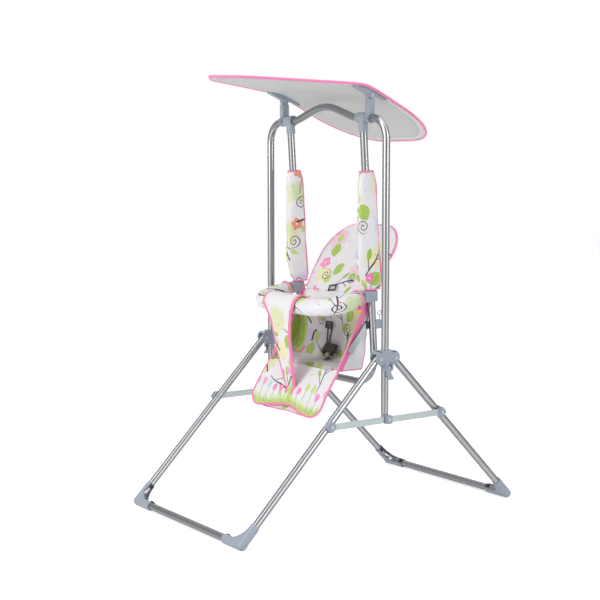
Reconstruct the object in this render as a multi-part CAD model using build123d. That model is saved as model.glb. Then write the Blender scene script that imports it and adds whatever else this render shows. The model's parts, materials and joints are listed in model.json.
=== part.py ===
from build123d import *
import os
from math import cos, radians, sin, sqrt, tan

os.makedirs("parts", exist_ok=True)

# Folding baby swing, in millimetres. The front faces -Y, the sides are at -X and +X, and +Z is up.
# The origin is on the floor, midway between the four feet.

# Clearances
running = 0.05        # round a pin or a bearing that turns, on the radius
socket_gap = 0.05     # round a tube in its socket, on the radius
pass_gap = 0.3        # between faces that move past each other
skin_gap = 0.3        # between a soft piece and what it covers or lies against
over = 1.0            # a cut runs this far past the face it opens

# Tubes
tube_d = 22.0
tube_wall = 1.2
bumper_d = 16.0
bumper_wall = 1.2

# Hoop: two uprights joined by a raised top bar
half_width = 288.0    # middle plane to the upright and leg centres
upright_end_z = 290.0
corner_z = 1148.0     # where the upright and shoulder lines cross
corner_r = 60.0
shoulder_out_x = 210.0
shoulder_in_x = 145.0
shoulder_z = 1158.0   # level stretch that the swing turns on
peak_z = 1203.0       # where the two raised lines cross
peak_r = 190.0
shoulder_r = 100.0

# Hubs that slide on the uprights
hub_z = 479.0
hub_height = 40.0
hub_length = 86.0
hub_plate = 3.6
hub_slot_gap = 0.4    # leg tube to plate, each side
hub_wall = 3.5        # collar round the upright
hub_web = 8.0         # top web above the leg ends
hub_skirt = 6.0       # collar below the plates
hub_pocket = 15.0     # length of each open pocket in the top web
hub_pocket_width = 16.0
hub_pocket_depth = 18.0
hub_pocket_gap = 2.2  # from the collar to each pocket
pivot_y = 28.0
pivot_z = 477.0
rivet_d = 6.0
rivet_head_d = 11.0
rivet_head_t = 2.0
leg_over = 7.0        # leg tube past its pivot

# Latch levers on the hubs
latch_pin_d = 5.0
latch_pin_out = 6.0   # pin centre beyond the upright's surface
latch_pin_z = 447.0
latch_ear_r = 5.5
latch_ear_t = 4.0
latch_width = 18.0
latch_top_drop = 1.0  # lever below the top of its ears
latch_t = 4.0
latch_tip_z = 419.0
latch_flare = 14.0
latch_knee_z = 434.0
latch_stud_d = 6.0
latch_stud_z = 438.0

# Leg frames, each one bent tube, and their corner covers
foot_reach = 487.0    # floor runs of the two frames from the middle plane
leg_bend_r = 38.0
foot_d = 28.0
foot_flat = 0.5       # taken off the underside
foot_leg_arm = 62.0
foot_bar_arm = 82.0
foot_web = 25.2
foot_web_inset = 0.4  # web's edges inside the round arms
foot_ball_d = 28.8
foot_fillet = 54.0
foot_slot_half = 10.0  # the cover is open between its two cheeks, towards the inside of the bend
clip_length = 13.0    # plug in the mouth of the slot at each end of the cover
clip_half = 6.0
clip_rise = 2.6

# Flat links between the uprights and the legs
link_z = 302.0
link_height = 19.0
link_t = 2.0
saddle_wall = 2.5
saddle_length = 25.0
saddle_t = 3.0        # pad between tube and link
cover_size = 25.0
cover_t = 3.0
cover_corner_r = 6.0

# Canopy
clamp_x = 213.0
clamp_length = 19.0
clamp_wall = 4.5
post_width = 18.0
post_depth = 22.0
hinge_rise = 62.0     # above the shoulders of the hoop
lug_r = 10.5
lug_t = 10.0
cheek_t = 4.0
boss_d = 18.0
boss_out = 8.0
bolt_d = 6.0
bolt_head_d = 12.0
bolt_head_t = 3.0
bolt_reach = 2.6      # bolt past the inside of the tube wall
fold_y = -18.0
fold_rise = 29.0      # above the hinge
fold_r = 28.0
front_pitch = 3.0     # the front half rises forward
rear_pitch = 26.1     # the rear half falls backward
shade_t = 5.0
shade_tip_y = -407.0
shade_tip_r = 25.0
shade_brow_x = 84.0
shade_brow_y = -348.0
shade_brow_r = 90.0
shade_side_x = 234.0
shade_side_y = -60.0
shade_rear_y = 290.0
shade_rear_r = 170.0
binding_width = 8.0
binding_t = 8.0
cradle_front_y = -58.0
cradle_rear_y = 52.0
cradle_tip_t = 6.0
cradle_shoulder_out = 2.0
cradle_shoulder_rise = 3.0

# Hanging frame, leaning back from the hoop
hanger_x = 181.0
hanger_lean = 3.8
collar_length = 38.0
collar_wall = 5.0
stem_wall = 2.5
stem_length = 40.0
stem_socket = 18.0    # socket starts this far from the hoop's centre
hanger_end = 519.0    # along the hanger from the hoop's centre
seat_tube_end = 780.0
seat_tube_r = 90.0

# Seat brackets, sleeves and bumper
bumper_z = 638.0      # where the bumper meets its brackets
bumper_drop = 24.0    # and how much lower its front is
bracket_above = 23.0  # from the bumper's centre
bracket_below = 10.0
bracket_front = 34.0  # ahead of the hanger's centre
bracket_rear = 13.5
bracket_inner = 13.0  # towards the seat
bracket_outer = 17.0
bracket_r = 5.0
sleeve_top = 155.0    # along the hanger from the hoop's centre
sleeve_clear = 3.0    # above the bracket
sleeve_width = 38.0
sleeve_depth = 66.0
sleeve_shift = -2.0   # sleeve centre behind the hanger's centre
sleeve_r = 17.0
bumper_y = -130.0
bumper_bend = 65.0
bumper_insert = 15.0
bumper_pad_d = 56.0
strap_t = 3.0

# Sling
side_t = 3.0
side_rise = 8.0       # side panels above the lower back
side_top_width = 6.0
pad_top_z = 442.0
pad_t = 12.0
pad_edge_r = 4.0
pad_front_y = -75.0
pad_rear_y = 8.0
back_wall_t = 10.0
back_wall_top_y = 40.0
back_wall_top_z = 640.0
backrest_seat = 5.0   # lower back's rear edge ahead of the backrest's middle
backrest_pitch = 32.6
backrest_length = 238.0
backrest_t = 20.0
backrest_foot_half = 158.0
backrest_half = 172.0
backrest_wide_from = 80.0
backrest_wide_at = 114.0
backrest_r = 95.0
calf_top_y = -80.0
calf_top_z = 428.0
calf_pitch = 58.7     # from level
calf_length = 145.0
calf_t = 8.0
calf_half = 175.0
calf_r = 32.0
flap_t = 3.0
flap_drop = 6.0
flap_half = 150.0
flap_length = 60.0
strap_top_half = 80.0
strap_neck_half = 52.0
strap_neck_z = 580.0
strap_mid_half = 40.0
strap_mid_z = 505.0
strap_mid_y = -151.0
strap_foot_half = 20.0
strap_foot_z = 360.0
strap_sewn = 18.0

# Strap bars and slider lugs on the hangers
lug_below = 69.0      # under the bracket's foot
slider_wall = 1.8
slider_height = 26.0
slider_rear = 25.0    # boss behind the hanger's centre
slider_boss = 20.0
slider_boss_r = 3.6
slider_bolt_rise = 6.5
slider_bolt_d = 8.0
slider_bolt_head_t = 2.0
ring_rise = 32.0      # above the lug's middle
ring_r = 7.0
ring_wire = 2.4
plunger_d = 5.0
plunger_rise = 7.5
bar_x = 178.0
bar_t = 3.0
bar_width = 19.0
bar_foot_y = -36.0
bar_foot_z = 490.0
bar_clip_length = 10.0
bar_clip_width = 9.0
bar_clip_height = 22.0
bar_pin_d = 6.0

# Harness
webbing_t = 2.0
webbing_w = 24.0
crotch_x = 12.0
crotch_front_y = -45.0
crotch_rear_y = -15.0
buckle_w = 66.0
buckle_h = 34.0
buckle_t = 12.0
buckle_z = 449.0
# Straps on the lower back: centre, width, foot and top
back_straps = ((-94.0, 10.0, 482.0, 512.0), (-4.0, 20.0, 486.0, 540.0), (62.0, 10.0, 486.0, 535.0))

tube_r = tube_d / 2
side_x = hanger_x - bracket_inner - skin_gap - side_t / 2
sling_half = side_x - side_t / 2 - skin_gap
bar_z = foot_d / 2 - foot_flat
bumper_front_z = bumper_z - bumper_drop
bracket_top_z = bumper_z + bracket_above
bracket_foot_z = bumper_z - bracket_below
lug_z = bracket_foot_z - lug_below
ring_z = lug_z + ring_rise
plunger_z = lug_z + plunger_rise
hinge_z = shoulder_z + hinge_rise
fold_z = hinge_z + fold_rise
big = 2000.0
left_right = (("left", -1), ("right", 1))
front_rear = (("front", -1), ("rear", 1))


def rod(start, end, radius):
    # Round bar from one point to another
    axis = Vector(*end) - Vector(*start)
    aim = Plane(origin=start, z_dir=axis)
    return aim * Cylinder(radius, axis.length, align=(Align.CENTER, Align.CENTER, Align.MIN))


def swept(path, radius):
    start = Plane(origin=path @ 0, z_dir=path % 0)
    return sweep(start * Circle(radius), path=path)


def bent_tube(path, radius=tube_r, wall=tube_wall):
    return swept(path, radius) - swept(path, radius - wall)


def block(x, y, z):
    # Box between two values on each axis
    size = (x[1] - x[0], y[1] - y[0], z[1] - z[0])
    centre = ((x[0] + x[1]) / 2, (y[0] + y[1]) / 2, (z[0] + z[1]) / 2)
    return Pos(*centre) * Box(*size)


def side_plate(points, x_from, x_to):
    # Flat piece whose outline is given in (y, z) and which spans x_from to x_to
    outline = Plane(origin=(x_from, 0, 0), x_dir=(0, 1, 0), z_dir=(1, 0, 0)) * Polygon(*points, align=None)
    return extrude(outline, amount=x_to - x_from, dir=(1, 0, 0))


def flip(shape):
    return mirror(shape, about=Plane.YZ)


def swap(shape):
    return mirror(shape, about=Plane.XZ)


def on_side(shape, side):
    # Pieces are drawn on the right and mirrored to the left
    return shape if side > 0 else flip(shape)


def rivet(x_from, x_to, y, z, radius):
    # Shank along X with its head beyond x_to
    head = rod((x_to, y, z), (x_to + rivet_head_t, y, z), rivet_head_d / 2)
    return rod((x_from, y, z), (x_to, y, z), radius) + head


def save(name, *shapes):
    shape = shapes[0] if len(shapes) == 1 else Compound(children=[s.solid() for s in shapes])
    shape.label = name
    export_step(shape, f"parts/{name}.step")


# Hoop

hoop_path = FilletPolyline(
    (-half_width, 0, upright_end_z),
    (-half_width, 0, corner_z),
    (-shoulder_out_x, 0, shoulder_z),
    (-shoulder_in_x, 0, shoulder_z),
    (0, 0, peak_z),
    (shoulder_in_x, 0, shoulder_z),
    (shoulder_out_x, 0, shoulder_z),
    (half_width, 0, corner_z),
    (half_width, 0, upright_end_z),
    radius=[corner_r, shoulder_r, shoulder_r, peak_r, shoulder_r, shoulder_r, corner_r],
)
clamp_slope = (shoulder_z - corner_z) / (half_width - shoulder_out_x)
clamp_z = shoulder_z - (clamp_x - shoulder_out_x) * clamp_slope
link_outer_x = half_width + tube_r


def bolt_hole(side):
    return rod((side * clamp_x, -tube_d, clamp_z), (side * clamp_x, 0, clamp_z), bolt_d / 2 + running)


def link_hole(side):
    centre = side * half_width
    return rod((centre, 0, link_z), (centre + side * tube_d, 0, link_z), rivet_d / 2 + running)


def hoop():
    tube = bent_tube(hoop_path)
    for _, side in left_right:
        tube = tube - bolt_hole(side) - link_hole(side)
    return tube


# Hubs, their rivets and latches

hub_half = tube_r + hub_slot_gap + hub_plate
collar_outer = tube_r + running + hub_wall
hub_foot_z = hub_z - hub_height / 2
hub_top_z = hub_z + hub_height / 2
latch_x = half_width + tube_r + latch_pin_out
ear_y = latch_width / 2 + pass_gap


def hub_right():
    outline = Plane(origin=(half_width - hub_half, 0, hub_z), x_dir=(0, 1, 0), z_dir=(1, 0, 0))
    body = extrude(outline * SlotOverall(hub_length, hub_height), amount=2 * hub_half)
    slot_half = tube_r + hub_slot_gap
    body -= block(
        (half_width - slot_half, half_width + slot_half),
        (-hub_length, hub_length),
        (hub_foot_z - over, hub_top_z - hub_web),
    )
    body += rod((half_width, 0, hub_foot_z - hub_skirt), (half_width, 0, hub_top_z), collar_outer)
    for _, end in front_rear:
        near = collar_outer + hub_pocket_gap
        pocket = block(
            (half_width - hub_pocket_width / 2, half_width + hub_pocket_width / 2),
            sorted((end * near, end * (near + hub_pocket))),
            (hub_top_z - hub_pocket_depth, hub_top_z + over),
        )
        body -= pocket
        scoop_y = end * (near + hub_pocket / 2)
        scoop_end = half_width + hub_half + over
        body -= rod((half_width, scoop_y, hub_top_z), (scoop_end, scoop_y, hub_top_z), hub_pocket / 2)
        pivot_at = end * pivot_y
        body -= rod((0, pivot_at, pivot_z), (2 * half_width, pivot_at, pivot_z), rivet_d / 2 + running)
    plate_x = half_width + slot_half
    for _, end in front_rear:
        ear_span = sorted((end * ear_y, end * (ear_y + latch_ear_t)))
        ear = block((plate_x, latch_x + latch_ear_r), ear_span, (latch_pin_z, hub_foot_z + hub_plate))
        ear += rod((latch_x, ear_span[0], latch_pin_z), (latch_x, ear_span[1], latch_pin_z), latch_ear_r)
        ear += block((plate_x, latch_x), ear_span, (latch_pin_z - latch_ear_r, hub_foot_z + hub_plate))
        body += ear
    pin_reach = ear_y + latch_ear_t + over
    pin_r = latch_pin_d / 2 + running
    body -= rod((latch_x, -pin_reach, latch_pin_z), (latch_x, pin_reach, latch_pin_z), pin_r)
    body -= rod((half_width, 0, 0), (half_width, 0, corner_z), tube_r + running)
    return body


def leg_rivet(side, end):
    y = end * pivot_y
    shank = rod((half_width - hub_half, y, pivot_z), (half_width + hub_half, y, pivot_z), rivet_d / 2)
    for x in (half_width - hub_half - rivet_head_t, half_width + hub_half):
        shank += rod((x, y, pivot_z), (x + rivet_head_t, y, pivot_z), rivet_head_d / 2)
    return on_side(shank, side)


def latch_right():
    inner = latch_x - latch_t / 2
    latch_top_z = latch_pin_z + latch_ear_r - latch_top_drop
    outline = Plane(origin=(0, latch_width / 2, 0), x_dir=(1, 0, 0), z_dir=(0, -1, 0)) * Polygon(
        (inner, latch_top_z),
        (inner + latch_t, latch_top_z),
        (inner + latch_t, latch_knee_z),
        (inner + latch_t + latch_flare, latch_tip_z),
        (inner + latch_flare, latch_tip_z),
        (inner, latch_knee_z),
        align=None,
    )
    lever = extrude(outline, amount=latch_width, dir=(0, -1, 0))
    pin_half = ear_y + latch_ear_t
    lever += rod((latch_x, -pin_half, latch_pin_z), (latch_x, pin_half, latch_pin_z), latch_pin_d / 2)
    stud_x = half_width + tube_r + pass_gap
    return lever + rod((stud_x, 0, latch_stud_z), (inner + over, 0, latch_stud_z), latch_stud_d / 2)


# Leg frames and their corner covers, drawn on the right at the rear

foot_point = Vector(half_width, foot_reach, bar_z)
hip_point = Vector(half_width, pivot_y, pivot_z)
leg_up = (hip_point - foot_point).normalized()
foot_frame = Plane(origin=foot_point, x_dir=(-1, 0, 0), z_dir=Vector(-1, 0, 0).cross(leg_up))


def leg_path():
    # Down from one hip, across the floor and up to the other
    top = hip_point + leg_up * leg_over
    corners = [top, foot_point]
    return FilletPolyline(
        *[(-c.X, c.Y, c.Z) for c in corners],
        *[tuple(c) for c in corners[::-1]],
        radius=leg_bend_r,
    )


def leg_frame():
    pivot_hole = rod((-big, pivot_y, pivot_z), (big, pivot_y, pivot_z), rivet_d / 2 + running)
    return bent_tube(leg_path()) - pivot_hole


def foot():
    # Channel over the outside of the bend, open towards the inside
    r = foot_d / 2
    half = sqrt(r * r - (foot_web / 2) ** 2) - foot_web_inset
    level_arm = Rectangle(foot_bar_arm + half, 2 * half, align=(Align.MIN, Align.CENTER))
    rising_arm = Rectangle(2 * half, foot_leg_arm + half, align=(Align.CENTER, Align.MIN))
    elbow = Pos(-half, 0) * level_arm + Pos(0, -half) * rising_arm
    inner = elbow.vertices().sort_by_distance((half, half, 0))[0]
    elbow = fillet(inner, foot_fillet)
    web = extrude(foot_frame * elbow, amount=foot_web / 2, both=True)
    leg_end = foot_point + leg_up * foot_leg_arm
    bar_end = foot_point - Vector(foot_bar_arm, 0, 0)
    ball = Pos(*foot_point) * Sphere(foot_ball_d / 2)
    body = web + rod(foot_point, leg_end, r) + rod(foot_point, bar_end, r) + ball
    body -= swept(leg_path(), tube_r + socket_gap)
    body -= foot_frame * block((0, big), (0, big), (-foot_slot_half, foot_slot_half))
    return body - block((-big, big), (-big, big), (-big, 0))


def foot_clips():
    # Plugs on the inside of the bend, one on each arm
    inner = tube_r + pass_gap
    outer = inner + clip_rise
    width = (-clip_half, clip_half)
    on_leg = block((inner, outer), (foot_leg_arm - clip_length, foot_leg_arm), width)
    on_bar = block((foot_bar_arm - clip_length, foot_bar_arm), (inner, outer), width)
    return [foot_frame * on_leg, foot_frame * on_bar]


# Links, drawn on the right at the rear

leg_lean = (foot_reach - pivot_y) / (pivot_z - bar_z)
link_y = pivot_y + (pivot_z - link_z) * leg_lean
link_level = {"front": 0, "rear": 1}


def link_inner_x(name):
    return link_outer_x + saddle_t + pass_gap + link_level[name] * (link_t + pass_gap)


def link(name):
    x = link_inner_x(name)
    plane = Plane(origin=(x, link_y / 2, link_z), x_dir=(0, 1, 0), z_dir=(1, 0, 0))
    bar = extrude(plane * SlotOverall(link_y + link_height, link_height), amount=link_t)
    for y in (0, link_y):
        bar -= rod((x - over, y, link_z), (x + link_t + over, y, link_z), rivet_d / 2 + running)
    return bar


def link_saddle(name):
    # Half shell on the outside of the leg tube, inboard of the link
    centre = Vector(half_width, link_y, link_z)
    low = centre - leg_up * (saddle_length / 2)
    high = centre + leg_up * (saddle_length / 2)
    outer = tube_r + socket_gap + saddle_wall
    pad_x = link_inner_x(name) - pass_gap
    frame = Plane(origin=centre, x_dir=(1, 0, 0), z_dir=leg_up)
    pad = frame * block((0, pad_x - half_width), (-tube_r, tube_r), (-saddle_length / 2, saddle_length / 2))
    shell = rod(low, high, outer) - block((0, half_width), (0, big), (0, big))
    return shell + pad - rod(low - leg_up, high + leg_up, tube_r + socket_gap)


def link_cover(name):
    x = link_inner_x(name) + link_t
    plane = Plane(origin=(x, link_y, link_z), x_dir=leg_up.cross(Vector(1, 0, 0)), z_dir=(1, 0, 0))
    cover = extrude(plane * RectangleRounded(cover_size, cover_size, cover_corner_r), amount=cover_t)
    hole_r = rivet_d / 2 + running
    return cover - rod((x - over, link_y, link_z), (x + cover_t + over, link_y, link_z), hole_r)


def link_rivet(name):
    x = link_inner_x(name)
    return rivet(x, x + link_t + cover_t, link_y, link_z, rivet_d / 2)


def upright_clip():
    # Holds both link ends against the foot of the upright
    inner = link_outer_x
    outer = link_inner_x("rear") + link_t + pass_gap
    plane = Plane(origin=(inner, 0, link_z), x_dir=(0, 1, 0), z_dir=(1, 0, 0))
    face = plane * RectangleRounded(cover_size, cover_size, cover_corner_r)
    clip = extrude(face, amount=outer + cover_t - inner)
    room = link_height / 2 + pass_gap
    clip -= block((inner + saddle_t, outer), (-big, big), (link_z - room, big))
    hole = rod((0, 0, link_z), (2 * half_width, 0, link_z), rivet_d / 2 + running)
    return clip - hole - rod((half_width, 0, 0), (half_width, 0, corner_z), tube_r + socket_gap)


def upright_rivet():
    outer = link_inner_x("rear") + link_t + pass_gap + cover_t
    return rivet(half_width + tube_r - tube_wall - over, outer, 0, link_z, rivet_d / 2)


# Canopy

def shade_profile(thickness):
    # Bent strip in (y, z), the same thickness above and below the middle surface
    front_y = shade_tip_y - binding_width
    rear_y = shade_rear_y + binding_width
    front_z = fold_z + (fold_y - front_y) * tan(radians(front_pitch))
    rear_z = fold_z - (rear_y - fold_y) * tan(radians(rear_pitch))
    points = []
    for half in (thickness / 2, -thickness / 2):
        row = [(front_y, front_z + half), (fold_y, fold_z + half), (rear_y, rear_z + half)]
        points += row if half > 0 else row[::-1]
    face = Plane.YZ * Polygon(*points, align=None)
    bends = face.vertices().sort_by_distance((0, fold_y, fold_z))[:2]
    return extrude(fillet(bends, fold_r), amount=big / 2, both=True)


def shade_outline(inset):
    side = shade_side_x
    points = [
        (0, shade_tip_y),
        (shade_brow_x, shade_brow_y),
        (side, shade_side_y),
        (side, shade_rear_y),
        (-side, shade_rear_y),
        (-side, shade_side_y),
        (-shade_brow_x, shade_brow_y),
    ]
    right_radii = [shade_brow_r, shade_brow_r, shade_rear_r]
    path = FilletPolyline(*points, radius=[shade_tip_r, *right_radii, *right_radii[::-1]], close=True)
    face = make_face(path.edges())
    return offset(face, amount=-inset) if inset else face


def shade():
    return extrude(shade_outline(binding_width), amount=big) & shade_profile(shade_t)


def binding():
    ring = shade_outline(0) - shade_outline(binding_width)
    return extrude(ring, amount=big) & shade_profile(binding_t)


def canopy_clamp():
    along = Vector(1, 0, -clamp_slope).normalized()
    centre = Vector(clamp_x, 0, clamp_z)
    half = along * (clamp_length / 2)
    body = rod(centre - half, centre + half, tube_r + clamp_wall)
    neck_top = hinge_z - lug_r - pass_gap
    post = Rectangle(post_width, post_depth)
    body += extrude(Plane(origin=centre) * post, amount=neck_top - clamp_z)
    body += block(
        (clamp_x - lug_t / 2, clamp_x + lug_t / 2),
        (-lug_r, lug_r),
        (neck_top - over, hinge_z),
    )
    body += rod((clamp_x - lug_t / 2, 0, hinge_z), (clamp_x + lug_t / 2, 0, hinge_z), lug_r)
    body += rod((clamp_x, -tube_r - boss_out, clamp_z), (clamp_x, 0, clamp_z), boss_d / 2)
    body -= rod((clamp_x - post_width, 0, hinge_z), (clamp_x + post_width, 0, hinge_z), bolt_d / 2 + running)
    body -= rod((clamp_x, -tube_d, clamp_z), (clamp_x, 0, clamp_z), bolt_d / 2 + running)
    return body - swept(hoop_path, tube_r + socket_gap)


def clamp_bolt():
    front = -tube_r - boss_out
    shank = rod((clamp_x, front, clamp_z), (clamp_x, -tube_r + tube_wall + bolt_reach, clamp_z), bolt_d / 2)
    return shank + rod((clamp_x, front - bolt_head_t, clamp_z), (clamp_x, front, clamp_z), bolt_head_d / 2)


def cradle():
    half = lug_t / 2 + pass_gap + cheek_t
    front_z = fold_z + (fold_y - cradle_front_y) * tan(radians(front_pitch))
    rear_z = fold_z - (cradle_rear_y - fold_y) * tan(radians(rear_pitch))
    shoulder = lug_r + cradle_shoulder_out
    shoulder_top = hinge_z + cradle_shoulder_rise
    points = [
        (cradle_front_y, front_z),
        (fold_y, fold_z),
        (cradle_rear_y, rear_z),
        (cradle_rear_y, rear_z - shade_t / 2 - cradle_tip_t),
        (shoulder, shoulder_top),
        (-shoulder, shoulder_top),
        (cradle_front_y, front_z - shade_t / 2 - cradle_tip_t),
    ]
    body = side_plate(points, clamp_x - half, clamp_x + half)
    body += rod((clamp_x - half, 0, hinge_z), (clamp_x + half, 0, hinge_z), lug_r)
    slot_half = lug_t / 2 + pass_gap
    slot_r = lug_r + pass_gap
    body -= rod((clamp_x - slot_half, 0, hinge_z), (clamp_x + slot_half, 0, hinge_z), slot_r)
    body -= block((clamp_x - slot_half, clamp_x + slot_half), (-slot_r, slot_r), (0, hinge_z))
    body -= rod((0, 0, hinge_z), (2 * clamp_x, 0, hinge_z), bolt_d / 2 + running)
    return body - shade_profile(shade_t)


def canopy_bolt():
    half = lug_t / 2 + pass_gap + cheek_t
    shank = rod((clamp_x - half, 0, hinge_z), (clamp_x + half, 0, hinge_z), bolt_d / 2)
    head_x = clamp_x + half
    return shank + rod((head_x, 0, hinge_z), (head_x + bolt_head_t, 0, hinge_z), bolt_head_d / 2)


# Hanging frame

def hang(x=0.0, down=0.0):
    # Frame on a hanger: Z up along it, Y to the rear, origin "down" below the hoop's centre
    lean = radians(hanger_lean)
    origin = (x, down * sin(lean), shoulder_z - down * cos(lean))
    return Plane(origin=origin, x_dir=(1, 0, 0), z_dir=(0, -sin(lean), cos(lean)))


def hang_down(z):
    return (shoulder_z - z) / cos(radians(hanger_lean))


def hang_rod(x, start, end, radius):
    return hang(x, end) * Cylinder(radius, end - start, align=(Align.CENTER, Align.CENTER, Align.MIN))


def swing_collar():
    half = collar_length / 2
    ring_r = tube_r + running + collar_wall
    body = rod((hanger_x - half, 0, shoulder_z), (hanger_x + half, 0, shoulder_z), ring_r)
    body += hang_rod(hanger_x, 0, stem_length, tube_r + socket_gap + stem_wall)
    body -= hang_rod(hanger_x, stem_socket, stem_length + over, tube_r + socket_gap)
    return body - rod((0, 0, shoulder_z), (2 * half_width, 0, shoulder_z), tube_r + running)


def hanger():
    return hang_rod(hanger_x, stem_socket, hanger_end, tube_r) - hang_rod(
        hanger_x, stem_socket, hanger_end, tube_r - tube_wall
    )


def seat_tube():
    frame = hang(0, seat_tube_end)
    top = seat_tube_end - hanger_end
    corners = [(-hanger_x, 0, top), (-hanger_x, 0, 0), (hanger_x, 0, 0), (hanger_x, 0, top)]
    points = [frame.from_local_coords(Vector(*corner)) for corner in corners]
    return bent_tube(FilletPolyline(*points, radius=seat_tube_r))


def seat_bracket():
    top = hang_down(bracket_top_z)
    foot_at = hang_down(bracket_foot_z)
    frame = hang(hanger_x, foot_at)
    body = block(
        (-bracket_inner, bracket_outer),
        (-bracket_front, bracket_rear),
        (0, foot_at - top),
    )
    body = frame * fillet(body.edges(), bracket_r)
    body -= hang_rod(hanger_x, top - over, foot_at + over, tube_r + socket_gap)
    return body - swept(bumper_path(), bumper_d / 2 + socket_gap)


def bracket_front_y():
    lean = radians(hanger_lean)
    return (shoulder_z - bumper_z) * tan(lean) - bracket_front / cos(lean)


def bumper_path(from_y=None):
    # A level bend in a plane that slopes down to the front
    start = bracket_front_y() + bumper_insert if from_y is None else from_y
    slope = bumper_drop / (bracket_front_y() - bumper_y)
    corners = [(-hanger_x, start), (-hanger_x, bumper_y), (hanger_x, bumper_y), (hanger_x, start)]
    points = [(x, y, bumper_front_z + (y - bumper_y) * slope) for x, y in corners]
    return FilletPolyline(*points, radius=bumper_bend)


def bumper_padding():
    path = bumper_path(bracket_front_y() - skin_gap - bracket_r)
    return swept(path, bumper_pad_d / 2) - swept(path, bumper_d / 2 + socket_gap)


def sleeve():
    sleeve_foot = hang_down(bracket_top_z) - sleeve_clear
    frame = hang(hanger_x, sleeve_foot)
    section = Pos(0, sleeve_shift) * RectangleRounded(sleeve_width, sleeve_depth, sleeve_r)
    body = extrude(frame * section, amount=sleeve_foot - sleeve_top)
    return body - hang_rod(hanger_x, sleeve_top - over, sleeve_foot + over, tube_r + skin_gap)


# Sling

calf_slope = cos(radians(calf_pitch)) / sin(radians(calf_pitch))
calf_frame = Plane(
    origin=(0, calf_top_y, calf_top_z),
    x_dir=(1, 0, 0),
    z_dir=(0, -sin(radians(calf_pitch)), cos(radians(calf_pitch))),
)


def backrest():
    lean = radians(backrest_pitch)
    front = Vector(0, -cos(lean), sin(lean))
    rise = Vector(0, sin(lean), cos(lean))
    foot_at = Vector(0, back_wall_top_y, back_wall_top_z) + rise * skin_gap - front * backrest_seat
    frame = Plane(origin=foot_at, x_dir=(1, 0, 0), z_dir=front)
    right = [
        (backrest_foot_half, 0),
        (backrest_foot_half, backrest_wide_from),
        (backrest_half, backrest_wide_at),
        (backrest_half, backrest_length),
    ]
    points = right + [(-x, y) for x, y in right[::-1]]
    outline = Polygon(*points, align=None)
    corners = outline.vertices().sort_by(Axis.Y)[-2:]
    outline = fillet(corners, backrest_r)
    return extrude(frame * outline, amount=backrest_t / 2, both=True)


def lower_back():
    points = [
        (pad_rear_y + skin_gap, pad_top_z - pad_t),
        (back_wall_top_y, back_wall_top_z),
        (back_wall_top_y - back_wall_t, back_wall_top_z),
        (pad_rear_y - back_wall_t, pad_top_z + skin_gap),
        (pad_rear_y + skin_gap, pad_top_z + skin_gap),
    ]
    return side_plate(points, -sling_half, sling_half)


def seat_pad():
    body = block((-sling_half, sling_half), (pad_front_y, pad_rear_y), (pad_top_z - pad_t, pad_top_z))
    return fillet(body.edges().filter_by(Axis.X), pad_edge_r)


def side_panel():
    # Inside the seat bracket, from the backrest's foot down to the front of the seat pad
    top = back_wall_top_z + side_rise
    rear_top = back_wall_top_y + side_rise * tan(radians(backrest_pitch))
    points = [
        (pad_front_y, pad_top_z - pad_t),
        (pad_rear_y, pad_top_z - pad_t),
        (back_wall_top_y, back_wall_top_z),
        (rear_top, top),
        (rear_top - side_top_width, top),
    ]
    return side_plate(points, side_x - side_t / 2, side_x + side_t / 2)


def calf_panel():
    outline = Pos(0, -calf_length / 2) * Rectangle(2 * calf_half, calf_length)
    corners = outline.vertices().sort_by(Axis.Y)[:2]
    return extrude(calf_frame * fillet(corners, calf_r), amount=calf_t / 2, both=True)


def calf_flap():
    # Second layer that shows below the panel's hem
    back = -calf_t / 2 - skin_gap - flap_t
    length = flap_length + flap_drop
    outline = Pos(0, -calf_length - flap_drop + length / 2) * Rectangle(2 * flap_half, length)
    corners = outline.vertices().sort_by(Axis.Y)[:2]
    flap = extrude(fillet(corners, calf_r), amount=flap_t)
    return calf_frame * Pos(0, 0, back) * flap


def t_strap():
    # Wraps the bumper, hangs down its front and is sewn to the calf panel
    inner = bumper_pad_d / 2 + skin_gap
    left_end = (-strap_top_half, bumper_y, bumper_front_z)
    right_end = (strap_top_half, bumper_y, bumper_front_z)
    wrap = rod(left_end, right_end, inner + strap_t)
    front_off = calf_t / 2 / sin(radians(calf_pitch)) + skin_gap
    foot_y = calf_top_y - (calf_top_z - strap_foot_z) * calf_slope - front_off
    sewn_z = strap_foot_z - strap_sewn
    sewn_y = foot_y - strap_sewn * calf_slope
    top_y = bumper_y - inner
    points = [
        (top_y, bumper_front_z),
        (strap_mid_y + strap_t / 2, strap_mid_z),
        (foot_y, strap_foot_z),
        (sewn_y, sewn_z),
        (sewn_y - strap_t, sewn_z),
        (foot_y - strap_t, strap_foot_z),
        (strap_mid_y - strap_t / 2, strap_mid_z),
        (top_y - strap_t, bumper_front_z),
    ]
    strip = side_plate(points, -strap_top_half, strap_top_half)
    right = [
        (strap_top_half, bumper_front_z),
        (strap_neck_half, strap_neck_z),
        (strap_mid_half, strap_mid_z),
        (strap_foot_half, strap_foot_z),
        (strap_foot_half, sewn_z),
    ]
    outline = Polygon(*(right + [(-x, z) for x, z in right[::-1]]), align=None)
    front = extrude(Plane.XZ * outline, amount=big, both=True)
    body = wrap + (strip & front)
    return body - rod((-big, bumper_y, bumper_front_z), (big, bumper_y, bumper_front_z), inner)


# Strap bars, slider lugs and pull rings on the hangers

slider_r = tube_r + socket_gap + slider_wall
slider_foot = hang_down(lug_z) + slider_height / 2


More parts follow.
